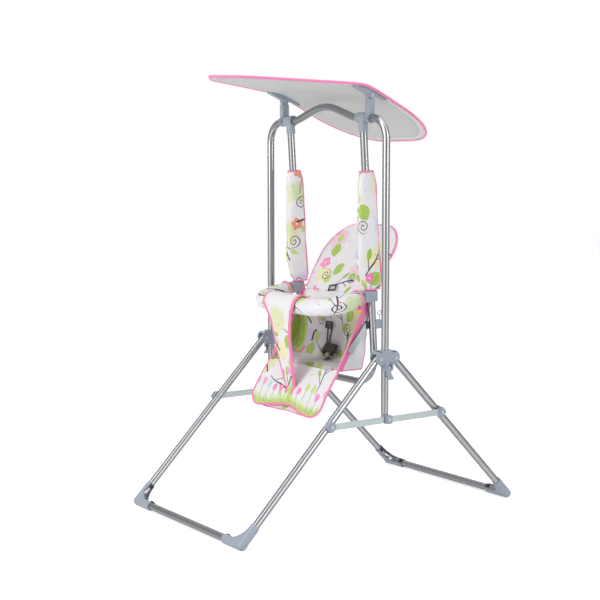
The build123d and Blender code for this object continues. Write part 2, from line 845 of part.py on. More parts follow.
def slider_lug():
    frame = hang(hanger_x, slider_foot)
    body = frame * Cylinder(slider_r, slider_height, align=(Align.CENTER, Align.CENTER, Align.MIN))
    boss = block((-slider_boss / 2, slider_boss / 2), (0, slider_rear), (0, slider_height))
    body += frame * fillet(boss.edges().filter_by(Axis.Y), slider_boss_r)
    body -= frame * block((-big, big), (-big, 0), (-over, slider_height + over))
    body -= hang_rod(hanger_x, slider_foot - slider_height - over, slider_foot + over, tube_r + socket_gap)
    return body - plunger_shaft(slider_rear + over, plunger_d / 2 + running)


def plunger_shaft(to_y, radius):
    # Along the hanger frame's Y, from just behind the tube
    at = hang(hanger_x, hang_down(plunger_z))
    start = at.from_local_coords(Vector(0, tube_r + pass_gap, 0))
    end = at.from_local_coords(Vector(0, to_y, 0))
    return rod(start, end, radius)


def slider_bolt():
    frame = hang(hanger_x, hang_down(lug_z) + slider_bolt_rise)
    start = frame.from_local_coords(Vector(0, slider_rear, 0))
    end = frame.from_local_coords(Vector(0, slider_rear + slider_bolt_head_t, 0))
    return rod(start, end, slider_bolt_d / 2)


def pull_ring():
    # Wire ring standing on the end of the plunger
    at = hang(hanger_x, hang_down(plunger_z))
    collar_from = slider_rear + pass_gap
    rise = ring_z - plunger_z
    body = plunger_shaft(collar_from + 2 * ring_wire, plunger_d / 2)
    stem_y = collar_from + ring_wire
    stem = rod(
        at.from_local_coords(Vector(0, stem_y, 0)),
        at.from_local_coords(Vector(0, stem_y, rise - ring_r)),
        ring_wire / 2,
    )
    centre = at.from_local_coords(Vector(0, stem_y, rise))
    ring = Plane(origin=centre, x_dir=(0, 1, 0), z_dir=(1, 0, 0)) * Torus(ring_r, ring_wire / 2)
    return body + stem + ring


def clip_box(grow=0.0):
    # Sits against the front of the hanger
    half = bar_clip_height / 2 + grow
    hanger_front_y = (shoulder_z - lug_z - half) * tan(radians(hanger_lean)) - tube_r
    rear_y = hanger_front_y - pass_gap
    x_half = bar_clip_width / 2 + grow
    return block(
        (bar_x - x_half, bar_x + x_half),
        (rear_y - bar_clip_length - grow, rear_y + grow),
        (lug_z - half, lug_z + half),
    )


def strut_bar():
    top = clip_box().center()
    run = Vector(0, top.Y - bar_foot_y, top.Z - bar_foot_z)
    foot_end = (bar_x - bar_t / 2, bar_foot_y, bar_foot_z)
    plane = Plane(origin=foot_end, x_dir=run.normalized(), z_dir=(1, 0, 0))
    strip = Rectangle(run.length + bar_width / 2, bar_width, align=(Align.MIN, Align.CENTER))
    bar = extrude(plane * Pos(-bar_width / 2, 0) * strip, amount=bar_t)
    bar -= block((-big, big), (top.Y, big), (-big, big))
    pin_from = side_x + side_t / 2 + skin_gap
    pin = rod((pin_from, bar_foot_y, bar_foot_z), (bar_x, bar_foot_y, bar_foot_z), bar_pin_d / 2)
    return bar - clip_box(socket_gap) + pin


# Harness

def back_wall_y(z):
    slope = (back_wall_top_y - pad_rear_y) / (back_wall_top_z - pad_top_z)
    return pad_rear_y - back_wall_t + (z - pad_top_z) * slope


def harness():
    gap = skin_gap * 2
    low = pad_top_z + skin_gap
    crotch_sides = (crotch_x - webbing_w / 2, crotch_x + webbing_w / 2)
    pieces = [block(crotch_sides, (crotch_front_y, crotch_rear_y), (low, low + webbing_t))]
    buckle_sides = (crotch_x - buckle_w / 2, crotch_x + buckle_w / 2)
    buckle_y = back_wall_y(buckle_z) - gap
    pieces.append(block(buckle_sides, (buckle_y - buckle_t, buckle_y), (buckle_z, buckle_z + buckle_h)))
    for x, width, foot_z, top_z in back_straps:
        points = [
            (back_wall_y(foot_z) - gap, foot_z),
            (back_wall_y(top_z) - gap, top_z),
            (back_wall_y(top_z) - gap - webbing_t, top_z),
            (back_wall_y(foot_z) - gap - webbing_t, foot_z),
        ]
        pieces.append(side_plate(points, x - width / 2, x + width / 2))
    return pieces


# Nodes

save("hoop_tube", hoop())
hub = hub_right()
latch = latch_right()
clamp = canopy_clamp()
cradle_body = cradle()
collar = swing_collar()
hanger_tube = hanger()
bracket = seat_bracket()
sleeve_body = sleeve()
for name, side in left_right:
    save(f"hub_{name}", on_side(hub, side))
    save(f"latch_lever_{name}", on_side(latch, side))
    save(f"canopy_clamp_{name}", on_side(clamp, side))
    save(f"canopy_cradle_{name}", on_side(cradle_body, side))
    save(f"swing_collar_{name}", on_side(collar, side))
    save(f"hanger_tube_{name}", on_side(hanger_tube, side))
    save(f"seat_bracket_{name}", on_side(bracket, side))
    save(f"sleeve_{name}", on_side(sleeve_body, side))
    save(f"pull_ring_{name}", on_side(pull_ring(), side))

save("leg_rivets", *[leg_rivet(side, end) for _, side in left_right for _, end in front_rear])
save("clamp_bolts", flip(clamp_bolt()), clamp_bolt())
save("canopy_bolts", flip(canopy_bolt()), canopy_bolt())
save("upright_clips", flip(upright_clip()), upright_clip())
save("upright_rivets", flip(upright_rivet()), upright_rivet())

leg_tube = leg_frame()
foot_body = foot()
for name, end in front_rear:
    def placed(shape, end=end):
        return shape if end > 0 else swap(shape)

    save(f"{name}_leg_frame", placed(leg_tube))
    for side_name, side in left_right:
        save(f"{name}_foot_{side_name}", on_side(placed(foot_body), side))
    clips = [on_side(placed(clip), side) for _, side in left_right for clip in foot_clips()]
    save(f"{name}_foot_clips", *clips)
    for kind, piece in (
        ("links", link(name)),
        ("link_saddles", link_saddle(name)),
        ("link_covers", link_cover(name)),
        ("link_rivets", link_rivet(name)),
    ):
        right = placed(piece)
        save(f"{name}_{kind}", flip(right), right)

save("canopy_shade", shade())
save("canopy_binding", binding())
save("seat_tube", seat_tube())
save("bumper_tube", bent_tube(bumper_path(), bumper_d / 2, bumper_wall))
save("bumper_padding", bumper_padding())
save("t_strap", t_strap())
save("backrest", backrest())
save("lower_back", lower_back())
save("seat_pad", seat_pad())
save("side_panels", flip(side_panel()), side_panel())
save("calf_panel", calf_panel())
save("calf_flap", calf_flap())
save("strut_bars", flip(strut_bar()), strut_bar())
save("strut_clips", flip(clip_box()), clip_box())
save("slider_lugs", flip(slider_lug()), slider_lug())
save("slider_bolts", flip(slider_bolt()), slider_bolt())
save("harness", *harness())
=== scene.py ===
import bmesh
import bpy
import json
from math import atan2, cos, pi, radians, sin, sqrt, tan
from mathutils import Matrix, Vector
from mathutils.kdtree import KDTree
from mathutils.noise import noise


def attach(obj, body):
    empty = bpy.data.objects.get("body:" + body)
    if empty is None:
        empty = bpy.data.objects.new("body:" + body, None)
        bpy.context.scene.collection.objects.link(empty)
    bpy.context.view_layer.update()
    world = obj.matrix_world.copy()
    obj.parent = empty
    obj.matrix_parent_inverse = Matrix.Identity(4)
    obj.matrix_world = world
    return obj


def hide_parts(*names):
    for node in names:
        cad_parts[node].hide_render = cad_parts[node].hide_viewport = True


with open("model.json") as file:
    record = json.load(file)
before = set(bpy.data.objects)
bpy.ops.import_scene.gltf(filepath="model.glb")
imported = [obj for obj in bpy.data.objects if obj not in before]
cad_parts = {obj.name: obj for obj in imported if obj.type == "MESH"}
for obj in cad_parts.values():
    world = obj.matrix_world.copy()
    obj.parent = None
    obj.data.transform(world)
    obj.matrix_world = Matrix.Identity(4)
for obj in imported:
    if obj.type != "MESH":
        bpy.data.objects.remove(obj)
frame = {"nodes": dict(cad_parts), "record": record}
scene = bpy.context.scene
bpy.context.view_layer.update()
print("frame loaded:", len(frame["nodes"]), "nodes")

# Studio

white = (1, 1, 1, 1)
studio = dict(
    cameraPlace=(3.142, -2.324, 1.023),
    cameraAzimuth=54.61,
    cameraDown=5.91,
    sensor=36,
    lens=78.2,
    middle=(0, 0, 0.65),
    lights=[
        # name, azimuth, height, distance, width, tall, power, colour
        ("keyBox", -6, 2.2, 3.6, 0.9, 2.6, 54, (1, 0.99, 0.97)),
        ("sideBox", 102, 1.9, 4.0, 0.8, 2.4, 30, (0.97, 0.98, 1)),
        ("backBox", 205, 2.4, 4.0, 1.6, 2.0, 23, (1, 1, 1)),
    ],
    topPlace=(0.2, -0.3, 4.2),
    topSize=3.2,
    topPower=33,
    fillStrength=0.56,
    floorSize=14,
    floorColour=(0.93, 0.935, 0.95, 1),
    floorGlow=0.47,
    # how much of the room metal sees in the floor, and how bright
    floorRoom=0.5,
    floorRoomLight=0.92,
    wallTone=0.6,
    wallContrast=0.22,
    wallCount=3.0,
    wallTurn=0.6,
    upwardLight=0.25,
    # azimuth, half its width, strength
    panels=[(10, 19, 3.0), (98, 17, 2.3), (205, 20, 0.8)],
)


def towards(azimuth, distance, height):
    angle = radians(azimuth)
    return Vector((sin(angle) * distance, -cos(angle) * distance, height))


def addObject(name, data):
    made = bpy.data.objects.new(name, data)
    scene.collection.objects.link(made)
    return made


def meshFrom(name, bm):
    mesh = bpy.data.meshes.new(name)
    bm.to_mesh(mesh)
    bm.free()
    return mesh


def makeCamera():
    camera = addObject("studioCamera", bpy.data.cameras.new("studioCamera"))
    camera.location = studio["cameraPlace"]
    camera.rotation_euler = radians(90 - studio["cameraDown"]), 0, radians(studio["cameraAzimuth"])
    camera.data.sensor_width = studio["sensor"]
    camera.data.lens = studio["lens"]
    scene.camera = camera


def makeAreaLight(name, place, aim, width, tall, power, colour):
    data = bpy.data.lights.new(name, "AREA")
    data.shape = "RECTANGLE"
    data.size, data.size_y = width, tall
    data.energy = power
    data.color = colour
    light = addObject(name, data)
    light.location = place
    light.rotation_euler = (Vector(aim) - Vector(place)).to_track_quat("-Z", "Y").to_euler()
    light.visible_camera = False


makeCamera()
for name, azimuth, height, distance, *lamp in studio["lights"]:
    makeAreaLight(name, towards(azimuth, distance, height), studio["middle"], *lamp)
makeAreaLight("topBox", studio["topPlace"], (0, 0, 0), studio["topSize"], studio["topSize"],
              studio["topPower"], white[:3])

# Shader nodes


def operator(operation):
    return lambda *values: maths(operation, *values)


class Field:
    # A shader value whose sums, products and comparisons are Math nodes; & joins shares
    def __init__(self, socket):
        self.socket = socket

    def __rsub__(self, other):
        return maths("SUBTRACT", other, self)

    __add__ = operator("ADD")
    __sub__ = operator("SUBTRACT")
    __mul__ = __and__ = operator("MULTIPLY")
    __truediv__ = operator("DIVIDE")
    __lt__ = operator("LESS_THAN")
    __gt__ = operator("GREATER_THAN")
    __abs__ = operator("ABSOLUTE")


def feed(value, socket):
    # Links a field or an output into a socket, or sets the socket's value
    value = getattr(value, "socket", value)
    if isinstance(value, bpy.types.NodeSocket):
        socket.id_data.links.new(value, socket)
    elif value is not None:
        socket.default_value = value


def addNode(source, kind, *values, **settings):
    # A node in the source's tree, with its sockets fed in order
    tree = source.socket.id_data if isinstance(source, Field) else source
    node = tree.nodes.new("ShaderNode" + kind)
    for key, value in settings.items():
        setattr(node, key, value)
    for socket, value in zip(node.inputs, values):
        feed(value, socket)
    return node


def firstField(values):
    return next(value for value in values if isinstance(value, Field))


def maths(operation, *values):
    return Field(addNode(firstField(values), "Math", *values, operation=operation).outputs[0])


def vectors(operation, *values):
    return Field(addNode(firstField(values), "VectorMath", *values, operation=operation).outputs[0])


def clamp(value):
    return Field(addNode(value, "Clamp", value).outputs[0])


def axes(vector):
    return [Field(socket) for socket in addNode(vector, "SeparateXYZ", vector).outputs]


def paint(share, under, over):
    # Lays one colour over another where share is 1
    node = addNode(firstField((share, under, over)), "Mix", data_type="RGBA")
    for index, value in ((0, share), (6, under), (7, over)):
        feed(value, node.inputs[index])
    return Field(node.outputs[2])


def mottle(place, scale, detail=3.0):
    # Soft noise from 0 to 1
    return Field(addNode(place, "TexNoise", place, None, scale, detail).outputs["Fac"])


def rayShares(tree, *kinds):
    rays = addNode(tree, "LightPath")
    return [Field(rays.outputs[f"Is {kind} Ray"]) for kind in kinds]


def roomLight(direction):
    # The room metal sees, with uneven walls and a few tall bright panels
    x, y, z = axes(direction)
    turn = maths("ARCTAN2", x, y * -1.0)
    bands = maths("COSINE", turn * studio["wallCount"] + studio["wallTurn"])
    room = bands * studio["wallContrast"] + studio["wallTone"]
    for azimuth, half, strength in studio["panels"]:
        rim = cos(radians(half))
        near = maths("COSINE", turn - radians(azimuth))
        room = room + clamp((near - rim) * (1 / (1 - rim))) * strength
    return z * studio["upwardLight"] + room


def makeWorld():
    world = bpy.data.worlds.new("studioWorld")
    scene.world = world
    world.use_nodes = True
    tree = world.node_tree
    tree.nodes.clear()
    camera, glossy, clear = rayShares(tree, "Camera", "Glossy", "Transmission")
    room = roomLight(Field(addNode(tree, "TexCoord").outputs["Generated"]))
    seen = maths("MAXIMUM", camera, clear)
    strength = (1.0 - glossy) * studio["fillStrength"] + glossy * room
    strength = (1.0 - seen) * strength + seen
    background = addNode(tree, "Background", white, strength)
    addNode(tree, "OutputWorld", background.outputs[0])


def makeFloor():
    bm = bmesh.new()
    bmesh.ops.create_grid(bm, x_segments=1, y_segments=1, size=studio["floorSize"])
    floor = addObject("studioFloor", meshFrom("studioFloor", bm))
    material = bpy.data.materials.new("floorPaper")
    material.use_nodes = True
    tree = material.node_tree
    tree.nodes.clear()
    camera, glossy = rayShares(tree, "Camera", "Glossy")
    glow = addNode(tree, "Emission", white, maths("MAXIMUM", camera, glossy) * studio["floorGlow"])
    diffuse = addNode(tree, "BsdfDiffuse", studio["floorColour"])
    paper = addNode(tree, "AddShader", diffuse.outputs[0], glow.outputs[0])
    ahead = vectors("SCALE", Field(addNode(tree, "NewGeometry").outputs["Incoming"]), None, None, -1.0)
    room = addNode(tree, "Emission", white, roomLight(ahead) * studio["floorRoomLight"])
    mixed = addNode(tree, "MixShader", glossy * studio["floorRoom"], paper.outputs[0], room.outputs[0])
    addNode(tree, "OutputMaterial", mixed.outputs[0])
    floor.data.materials.append(material)


makeWorld()
makeFloor()
scene.view_settings.view_transform = "Standard"
print("studio ready")

# Finishes

finishes = {}
pinkTape = (0.9, 0.235, 0.465, 1)
# paler pink along the tape's outer edge, a painted highlight
paintedHighlightPink = (0.9, 0.62, 0.74, 1)
plainFinishes = dict(
    # light and dark tone, their scale, roughness, its change, metal, grain's scale and depth, sheen
    tube_steel=((0.355, 0.365, 0.38, 1), (0.315, 0.325, 0.34, 1), 9.0, 0.22, 0.03, 0.95, 30.0, 0.0),
    link_steel=((0.55, 0.615, 0.615, 1), (0.47, 0.53, 0.53, 1), 9.0, 0.38, 0.12, 0.75, 600.0, 0.00006),
    bright_steel=((0.62, 0.62, 0.66, 1), (0.5, 0.5, 0.54, 1), 9.0, 0.24, 0.12, 1.0, 800.0, 0.00003),
    grey_plastic=((0.362, 0.415, 0.488, 1), (0.335, 0.382, 0.45, 1), 9.0, 0.38, 0.12, 0.0, 1400.0, 0.00008),
    dark_plastic=((0.016, 0.016, 0.018, 1), (0.01, 0.01, 0.011, 1), 9.0, 0.42, 0.12, 0.0, 1400.0, 0.00008),
    pink_binding=((1.0, 0.2632, 0.5208, 1), pinkTape, 60.0, 0.42, 0.0, 0.0, 420.0, 0.0003, (0.3, 0.35)),
)


def startFinish(name, rough, metal=0.0, sheen=None):
    material = bpy.data.materials.new(name)
    material.use_nodes = True
    shader = material.node_tree.nodes["Principled BSDF"]
    shader.inputs["Metallic"].default_value = metal
    shader.inputs["Roughness"].default_value = rough
    if sheen:
        shader.inputs["Sheen Weight"].default_value, shader.inputs["Sheen Roughness"].default_value = sheen
    finishes[name] = material
    return shader, Field(addNode(material.node_tree, "TexCoord").outputs["Object"])


def emboss(shader, height, strength, distance):
    bump = addNode(height, "Bump", strength, distance)
    feed(height, bump.inputs["Height"])
    feed(bump.outputs[0], shader.inputs["Normal"])


def plainFinish(name, light, dark, scale, rough, change, metal, grain, depth, sheen=None):
    # Plating, plastic or tape with a fine grain and a slight change of tone
    shader, place = startFinish(name, rough, metal, sheen)
    feed(paint(mottle(place, scale), dark, light), shader.inputs["Base Color"])
    fine = mottle(place, grain, 2.0)
    if change:
        feed(fine * change + (rough - change / 2), shader.inputs["Roughness"])
    if depth:
        emboss(shader, fine, 0.5, depth)


for name, settings in plainFinishes.items():
    plainFinish(name, *settings)
print("plain finishes ready")

# Cloth, its print and its edging

webbingTones = (0.01, 0.01, 0.011, 1), (0.024, 0.024, 0.026, 1)
prints = dict(
    ground=(0.885, 0.87, 0.9, 1),
    ink=(0.035, 0.028, 0.04, 1),
    lime=(0.36, 0.55, 0.07, 1),
    paleLime=(0.56, 0.73, 0.2, 1),
    washes=[(0.9, 0.82, 0.22, 1), (0.52, 0.72, 0.16, 1), (0.4, 0.72, 0.78, 1),
               (0.93, 0.5, 0.68, 1), (0.66, 0.56, 0.86, 1), (0.72, 0.78, 0.24, 1)],
    petals=[(0.93, 0.16, 0.46, 1), (0.88, 0.26, 0.12, 1), (0.95, 0.26, 0.6, 1),
               (0.93, 0.62, 0.1, 1), (0.93, 0.22, 0.44, 1)],
    hearts=[(0.94, 0.82, 0.4, 1), (0.95, 0.62, 0.76, 1)],
    tulips=[(0.93, 0.3, 0.56, 1), (0.55, 0.74, 0.85, 1), (0.9, 0.42, 0.66, 1), (0.62, 0.76, 0.27, 1)],
    # width, height and colour of the blades of grass
    blades=[(0.0052, 0.05, "paleLime"), (0.0037, 0.04, "lime"), (0.0047, 0.028, "paleLime")],
    randomness=0.72,
)
fabric = dict(
    threadPitch=0.0011,
    threadHeight=0.012,
    foldScale=38.0,
    relief=0.0016,
    # brightness of the soft patches, and their scale
    dim=0.955,
    dimScale=14.0,
    hem=0.0225,
    hemTone=(0.86, 0.87, 0.86, 1),
    seam=0.0238,
    seamTone=(0.3, 0.31, 0.31, 1),
    stitchIn=0.0015,
    stitchHalf=0.0009,
    shadowTone=(0.07, 0.045, 0.045, 1),
)


def chooseColour(number, colours):
    # Steps through the colours from 0 to 1
    node = addNode(number, "ValToRGB", number)
    ramp = node.color_ramp
    ramp.interpolation = "CONSTANT"
    while len(ramp.elements) < len(colours):
        ramp.elements.new(1.0)
    for index, colour in enumerate(colours):
        ramp.elements[index].position = index / len(colours)
        ramp.elements[index].color = colour
    return Field(node.outputs[0])


def scatter(place, size, share, shift):
    # Place across and along from the nearest copy, which is turned at random, whether
    # it is printed, and its two random numbers
    moved = vectors("ADD", place, shift)
    cell = addNode(place, "TexVoronoi", moved, voronoi_dimensions="2D")
    cell.inputs["Scale"].default_value = 1 / size
    cell.inputs["Randomness"].default_value = prints["randomness"]
    local = vectors("SUBTRACT", moved, cell.outputs["Position"])
    spin, pick, tone = axes(Field(cell.outputs["Color"]))
    turned = addNode(place, "VectorRotate", local, rotation_type="Z_AXIS")
    feed(spin * (2 * pi), turned.inputs["Angle"])
    x, y, _ = axes(Field(turned.outputs[0]))
    return x, y, pick < share, tone, pick


def radiusOf(x, y):
    return maths("SQRT", x * x + y * y)


def leafShare(x, y, length, width):
    # Pointed leaf from x = 0 to x = length
    half = x * (2 / length) - 1.0
    return abs(y) < half * half * (-width / 2) + width / 2


def printWashes(place, colour, x, y, chosen, tone, pick):
    # Large pale patches with a soft uneven rim
    uneven = mottle(place, 70.0, 2.0)
    reach = uneven * 0.03 + (tone * 0.016 + 0.018)
    soft = clamp((reach - radiusOf(x, y)) * (1 / 0.014))
    strength = uneven * 0.5 + 0.33
    return paint(soft & chosen & strength, colour, chooseColour(tone, prints["washes"]))


def printLeaves(place, colour, x, y, chosen, tone, pick):
    # Large round leaves in pairs
    veins = maths("FRACT", (x - abs(y)) * 115.0)
    green = paint(veins > 0.7, prints["lime"], prints["paleLime"])
    colour = paint(leafShare(x + 0.002, y, 0.052, 0.04) & chosen, colour, green)
    return paint(leafShare(x * -1.0 + -0.004, y, 0.036, 0.027) & chosen, colour, prints["paleLime"])


def printFlowers(place, colour, x, y, chosen, tone, pick):
    # Five petals with a paler ring and a round heart
    wave = maths("COSINE", maths("ARCTAN2", y, x) * 5.0)
    edge = (tone * 0.016 + 0.015) * (wave * 0.14 + 0.86)
    ratio = radiusOf(x, y) / edge
    petal = chooseColour(tone, prints["petals"])
    inner = paint(ratio < 0.66, petal, paint(0.45, petal, white))
    inner = paint(ratio < 0.58, inner, petal)
    inner = paint(ratio < 0.27, inner, chooseColour(pick, prints["hearts"]))
    return paint((ratio < 1.0) & chosen, colour, inner)


def printTwigs(place, colour, x, y, chosen, tone, pick):
    # Bowed dark twig with two side twigs that end in leaves
    off = y - maths("SINE", x * 36.0) * 0.008
    for start, slope, side, green in ((-0.024, 0.85, 1, "lime"), (0.008, -0.95, -1, "paleLime")):
        run = x - start
        line = abs(run * -slope + off) < 0.0016
        colour = paint(line & (run > 0.0) & (run < 0.026) & chosen, colour, prints["ink"])
        aside = run * (-slope * 0.55) + (off - side * 0.009)
        colour = paint(leafShare(run - 0.018, aside, 0.026, 0.016) & chosen, colour, prints[green])
    stem = (abs(off) < x * 0.018 + 0.0021) & (abs(x) < 0.055)
    return paint(stem & chosen, colour, prints["ink"])


def printCurls(place, colour, x, y, chosen, tone, pick):
    # Spiral lines on the copies that weren't chosen
    far = radiusOf(x, y)
    winding = maths("FRACT", far * (1 / 0.0105) - maths("ARCTAN2", y, x) * (0.5 / pi))
    line = (abs(winding - 0.5) < 0.12) & (far < 0.02)
    return paint(line & (1.0 - chosen), colour, prints["ink"])


def printDots(place, colour, x, y, chosen, tone, pick):
    dot = radiusOf(x, y) < tone * 0.0022 + 0.0012
    return paint(dot & chosen, colour, chooseColour(tone, prints["petals"]))


layers = [
    # what is printed, the distance between copies, the share of them printed, and their shift
    (printWashes, 0.12, 0.88, 9.4, 1.1),
    (printLeaves, 0.112, 0.62, 3.1, 0.0),
    (printFlowers, 0.135, 0.62, 0.0, 0.0),
    (printTwigs, 0.128, 0.84, 1.3, 0.4),
    (printCurls, 0.112, 0.5, 5.2, 2.2),
    (printDots, 0.026, 0.3, 7.7, 0.0),
]


def columnLuck(column):
    return Field(addNode(column, "TexWhiteNoise", None, column, noise_dimensions="1D").outputs["Value"])


def printGrass(place, colour):
    # Tulips on stems over a strip of grass, measured up from the hem
    x, up, _ = axes(place)
    pitch = 0.031
    column = maths("FLOOR", x / pitch)
    luck = columnLuck(column)
    side = x - column * pitch - pitch / 2
    rise = up - (luck * 0.026 + 0.06)
    colour = paint((abs(side) < 0.0013) & (rise < 0.0), colour, prints["lime"])
    cup = side * side + rise * rise * 0.42
    tips = abs(maths("SINE", side * (3 * pi / 0.018))) * -0.006
    tulip = (cup < 0.00009) & (rise + tips < 0.0065)
    colour = paint(tulip, colour, chooseColour(luck, prints["tulips"]))
    for width, reach, green in prints["blades"]:
        blade = (x + up * 0.1) / width
        spot = maths("FLOOR", blade)
        point = abs((blade - spot) * 2.0 - 1.0)
        tip = (columnLuck(spot) * 0.55 + 0.45) * reach
        colour = paint(up < tip * (point * -0.8 + 1.0), colour, prints[green])
    return colour


def clothFinish(name, shift, tape=0.0, inner=0.0, grass=False, plain=None, rough=0.55, blot=None,
                light=1.0, bare=False):
    # Woven cloth. tape is its tape's width, with a paler line up to inner that is a painted highlight; plain
    # cloth has a turned hem, bare cloth no print; blot is a green patch, and light the brightness left low
    # down, where the cloth is darkened with painted shade.
    shader, body = startFinish(name, rough, sheen=(0.25, 0.4))
    place = Field(addNode(body, "UVMap", uv_map="cloth").outputs[0])
    ground = plain or prints["ground"]
    dim = tuple(fabric["dim"] * c for c in ground[:3]) + (1,)
    colour = paint(mottle(body, fabric["dimScale"], 2.0), dim, ground)
    if not (plain or bare):
        for layer, size, share, across, up in layers:
            copies = scatter(place, size, share, (shift + across, 1.7 * shift + up, 0))
            colour = layer(place, colour, *copies)
    if blot:
        wide, tall, _ = axes(vectors("SUBTRACT", place, (*blot[:2], 0)))
        far = mottle(place, 40.0, 2.0) * 0.016 + radiusOf(wide, tall * 0.62)
        colour = paint(far < blot[2], colour, prints["paleLime"])
        colour = paint(far < 0.8 * blot[2], colour, prints["lime"])
    if grass:
        colour = printGrass(place, colour)
    # Painted shade: below about 0.6 m the cloth is darkened towards shadowTone, down to the brightness light
    if light < 1.0:
        low = clamp(axes(body)[2] * -22.0 + 13.4)
        colour = paint(low * (1 - light), colour, fabric["shadowTone"])
    x, y, _ = axes(place)
    waves = [maths("SINE", axis * (2 * pi / fabric["threadPitch"])) for axis in (x, y)]
    height = (waves[0] + waves[1]) * fabric["threadHeight"] + mottle(body, fabric["foldScale"], 3.0)
    if tape or plain:
        rim = Field(addNode(body, "Attribute", attribute_name="rim").outputs["Fac"])
        if plain:
            colour = paint((rim < fabric["hem"]) * 0.55, colour, fabric["hemTone"])
            colour = paint((abs(rim - fabric["seam"]) < 0.0014) * 0.5, colour, fabric["seamTone"])
        else:
            # Painted highlight: a paler pink line along the edge up to inner, then the pink tape
            colour = paint(rim < tape, colour, paintedHighlightPink)
            colour = paint((rim < tape) & (rim > inner), colour, pinkTape)
        stitch = abs(rim - ((tape or 0.024) + fabric["stitchIn"]))
        height = height + (stitch < fabric["stitchHalf"]) * -0.35
    feed(colour, shader.inputs["Base Color"])
    emboss(shader, height, 0.6, fabric["relief"])
    return finishes[name]


shader, place = startFinish("webbing", 0.7, sheen=(0.2, 0.5))
feed(paint(mottle(place, 300.0), *webbingTones), shader.inputs["Base Color"])
x, _, z = axes(place)
emboss(shader, maths("SINE", (x + z) * (2 * pi / 0.0018)), 0.5, 0.0003)
# The canopy's underside is the white cloth given a plain grey, a painted shade where it faces down
clothFinish("canopy_cloth", 0.0, plain=(0.66, 0.665, 0.66, 1), rough=0.6)
clothFinish("printed_cloth", 0.37)
slots = {part["node"]: part["material_slot"] for part in frame["record"]["subparts"]}
for nodeName, node in frame["nodes"].items():
    node.data.materials.clear()
    node.data.materials.append(finishes[slots[nodeName]])
print("finishes ready")

# Making cloth pieces

puffFrames = 20
sides = ("Left", -1), ("Right", 1)


def nearestOf(points):
    tree = KDTree(len(points))
    for index, point in enumerate(points):
        tree.insert(point, index)
    tree.balance()
    return tree


def smoothStep(value):
    value = min(max(value, 0.0), 1.0)
    return value * value * (3 - 2 * value)


def between(rows, spot, ease=1):
    # What rows of (place, values...) give at a spot, evenly, or eased in and out
    spot = min(max(spot, rows[0][0]), rows[-1][0])
    for (low, *a), (high, *b) in zip(rows, rows[1:]):
        if spot <= high:
            share = (spot - low) / max(high - low, 1e-9)
            share = smoothStep(share) if ease else share
            return [p + (q - p) * share for p, q in zip(a, b)]


def roundedPath(corners, closed=False):
    # corners are rows of x, y and radius
    points = []
    places = [Vector(corner[:2]) for corner in corners]
    for index, corner in enumerate(places):
        radius = corners[index][2]
        if not (closed or radius):
            points.append(corner)
            continue
        back = (places[index - 1] - corner).normalized()
        on = (places[(index + 1) % len(places)] - corner).normalized()
        half = back.angle(on) / 2
        centre = corner + (back + on).normalized() * radius / sin(half)
        first = corner + back * radius / tan(half) - centre
        last = corner + on * radius / tan(half) - centre
        sweep = first.angle(last)
        for step in range(11):
            part = step / 10
            mix = first * sin((1 - part) * sweep) + last * sin(part * sweep)
            points.append(centre + mix / sin(sweep))
    return points


def ringPath(half, count):
    # Closed line round a right half and its mirror image
    return spaced(roundedPath(half + [(-x, y, r) for x, y, r in half[::-1] if x], True), count, True)


def spaced(points, count, closed=False):
    # The same line in equal steps
    line = [Vector(p) for p in points] + ([Vector(points[0])] if closed else [])
    rows = [(0.0, *line[0])]
    for before, after in zip(line, line[1:]):
        rows.append((rows[-1][0] + (after - before).length, *after))
    step = rows[-1][0] / (count if closed else count - 1)
    return [Vector(between(rows, step * index, 0)) for index in range(count)]


def clothGrid(columns, rows, place, flat=lambda u, v: (u, v), free=None):
    # u runs across from -1 to 1 and v along from 0 to 1; flat is the place on the cut cloth,
    # and the rim value is the distance from the border points that are free
    bm = bmesh.new()
    flatLayer = bm.loops.layers.uv.new("cloth")
    rim = bm.verts.layers.float.new("rim")
    bmesh.ops.create_grid(bm, x_segments=columns, y_segments=rows, size=1)
    for face in bm.faces:
        for loop in face.loops:
            loop[flatLayer].uv = flat(loop.vert.co.x, (loop.vert.co.y + 1) / 2)
    edge = [vert for vert in bm.verts if free and vert.is_boundary and free(vert.co.x, (vert.co.y + 1) / 2)]
    for vert in bm.verts:
        vert.co = place(vert.co.x, (vert.co.y + 1) / 2)
    tree = nearestOf([vert.co for vert in edge])
    for vert in bm.verts:
        vert[rim] = tree.find(vert.co)[2] if edge else 1.0
    return bm


def faceOut(bm):
    bmesh.ops.recalc_face_normals(bm, faces=bm.faces)


def newPiece(name, bm, finish, body="swing", replaced=()):
    piece = addObject(name, meshFrom(name, bm))
    piece.data.materials.append(finish)
    piece.data.shade_smooth()
    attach(piece, body)
    if replaced:
        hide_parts(*replaced)
    return piece


def declareSheet(piece, flat):
    area = sum(p.area for p in piece.data.polygons)
    min(area, flat[0] * flat[1])


def subdivide(piece):
    smooth = piece.modifiers.new("smooth", "SUBSURF")
    smooth.levels = smooth.render_levels = 1


def thicken(piece, thickness, offset=0.0, smooth=True, under=0):
    wall = piece.modifiers.new("wall", "SOLIDIFY")
    wall.thickness = thickness
    wall.offset = offset
    wall.use_even_offset = True
    wall.material_offset = under
    if smooth:
        subdivide(piece)


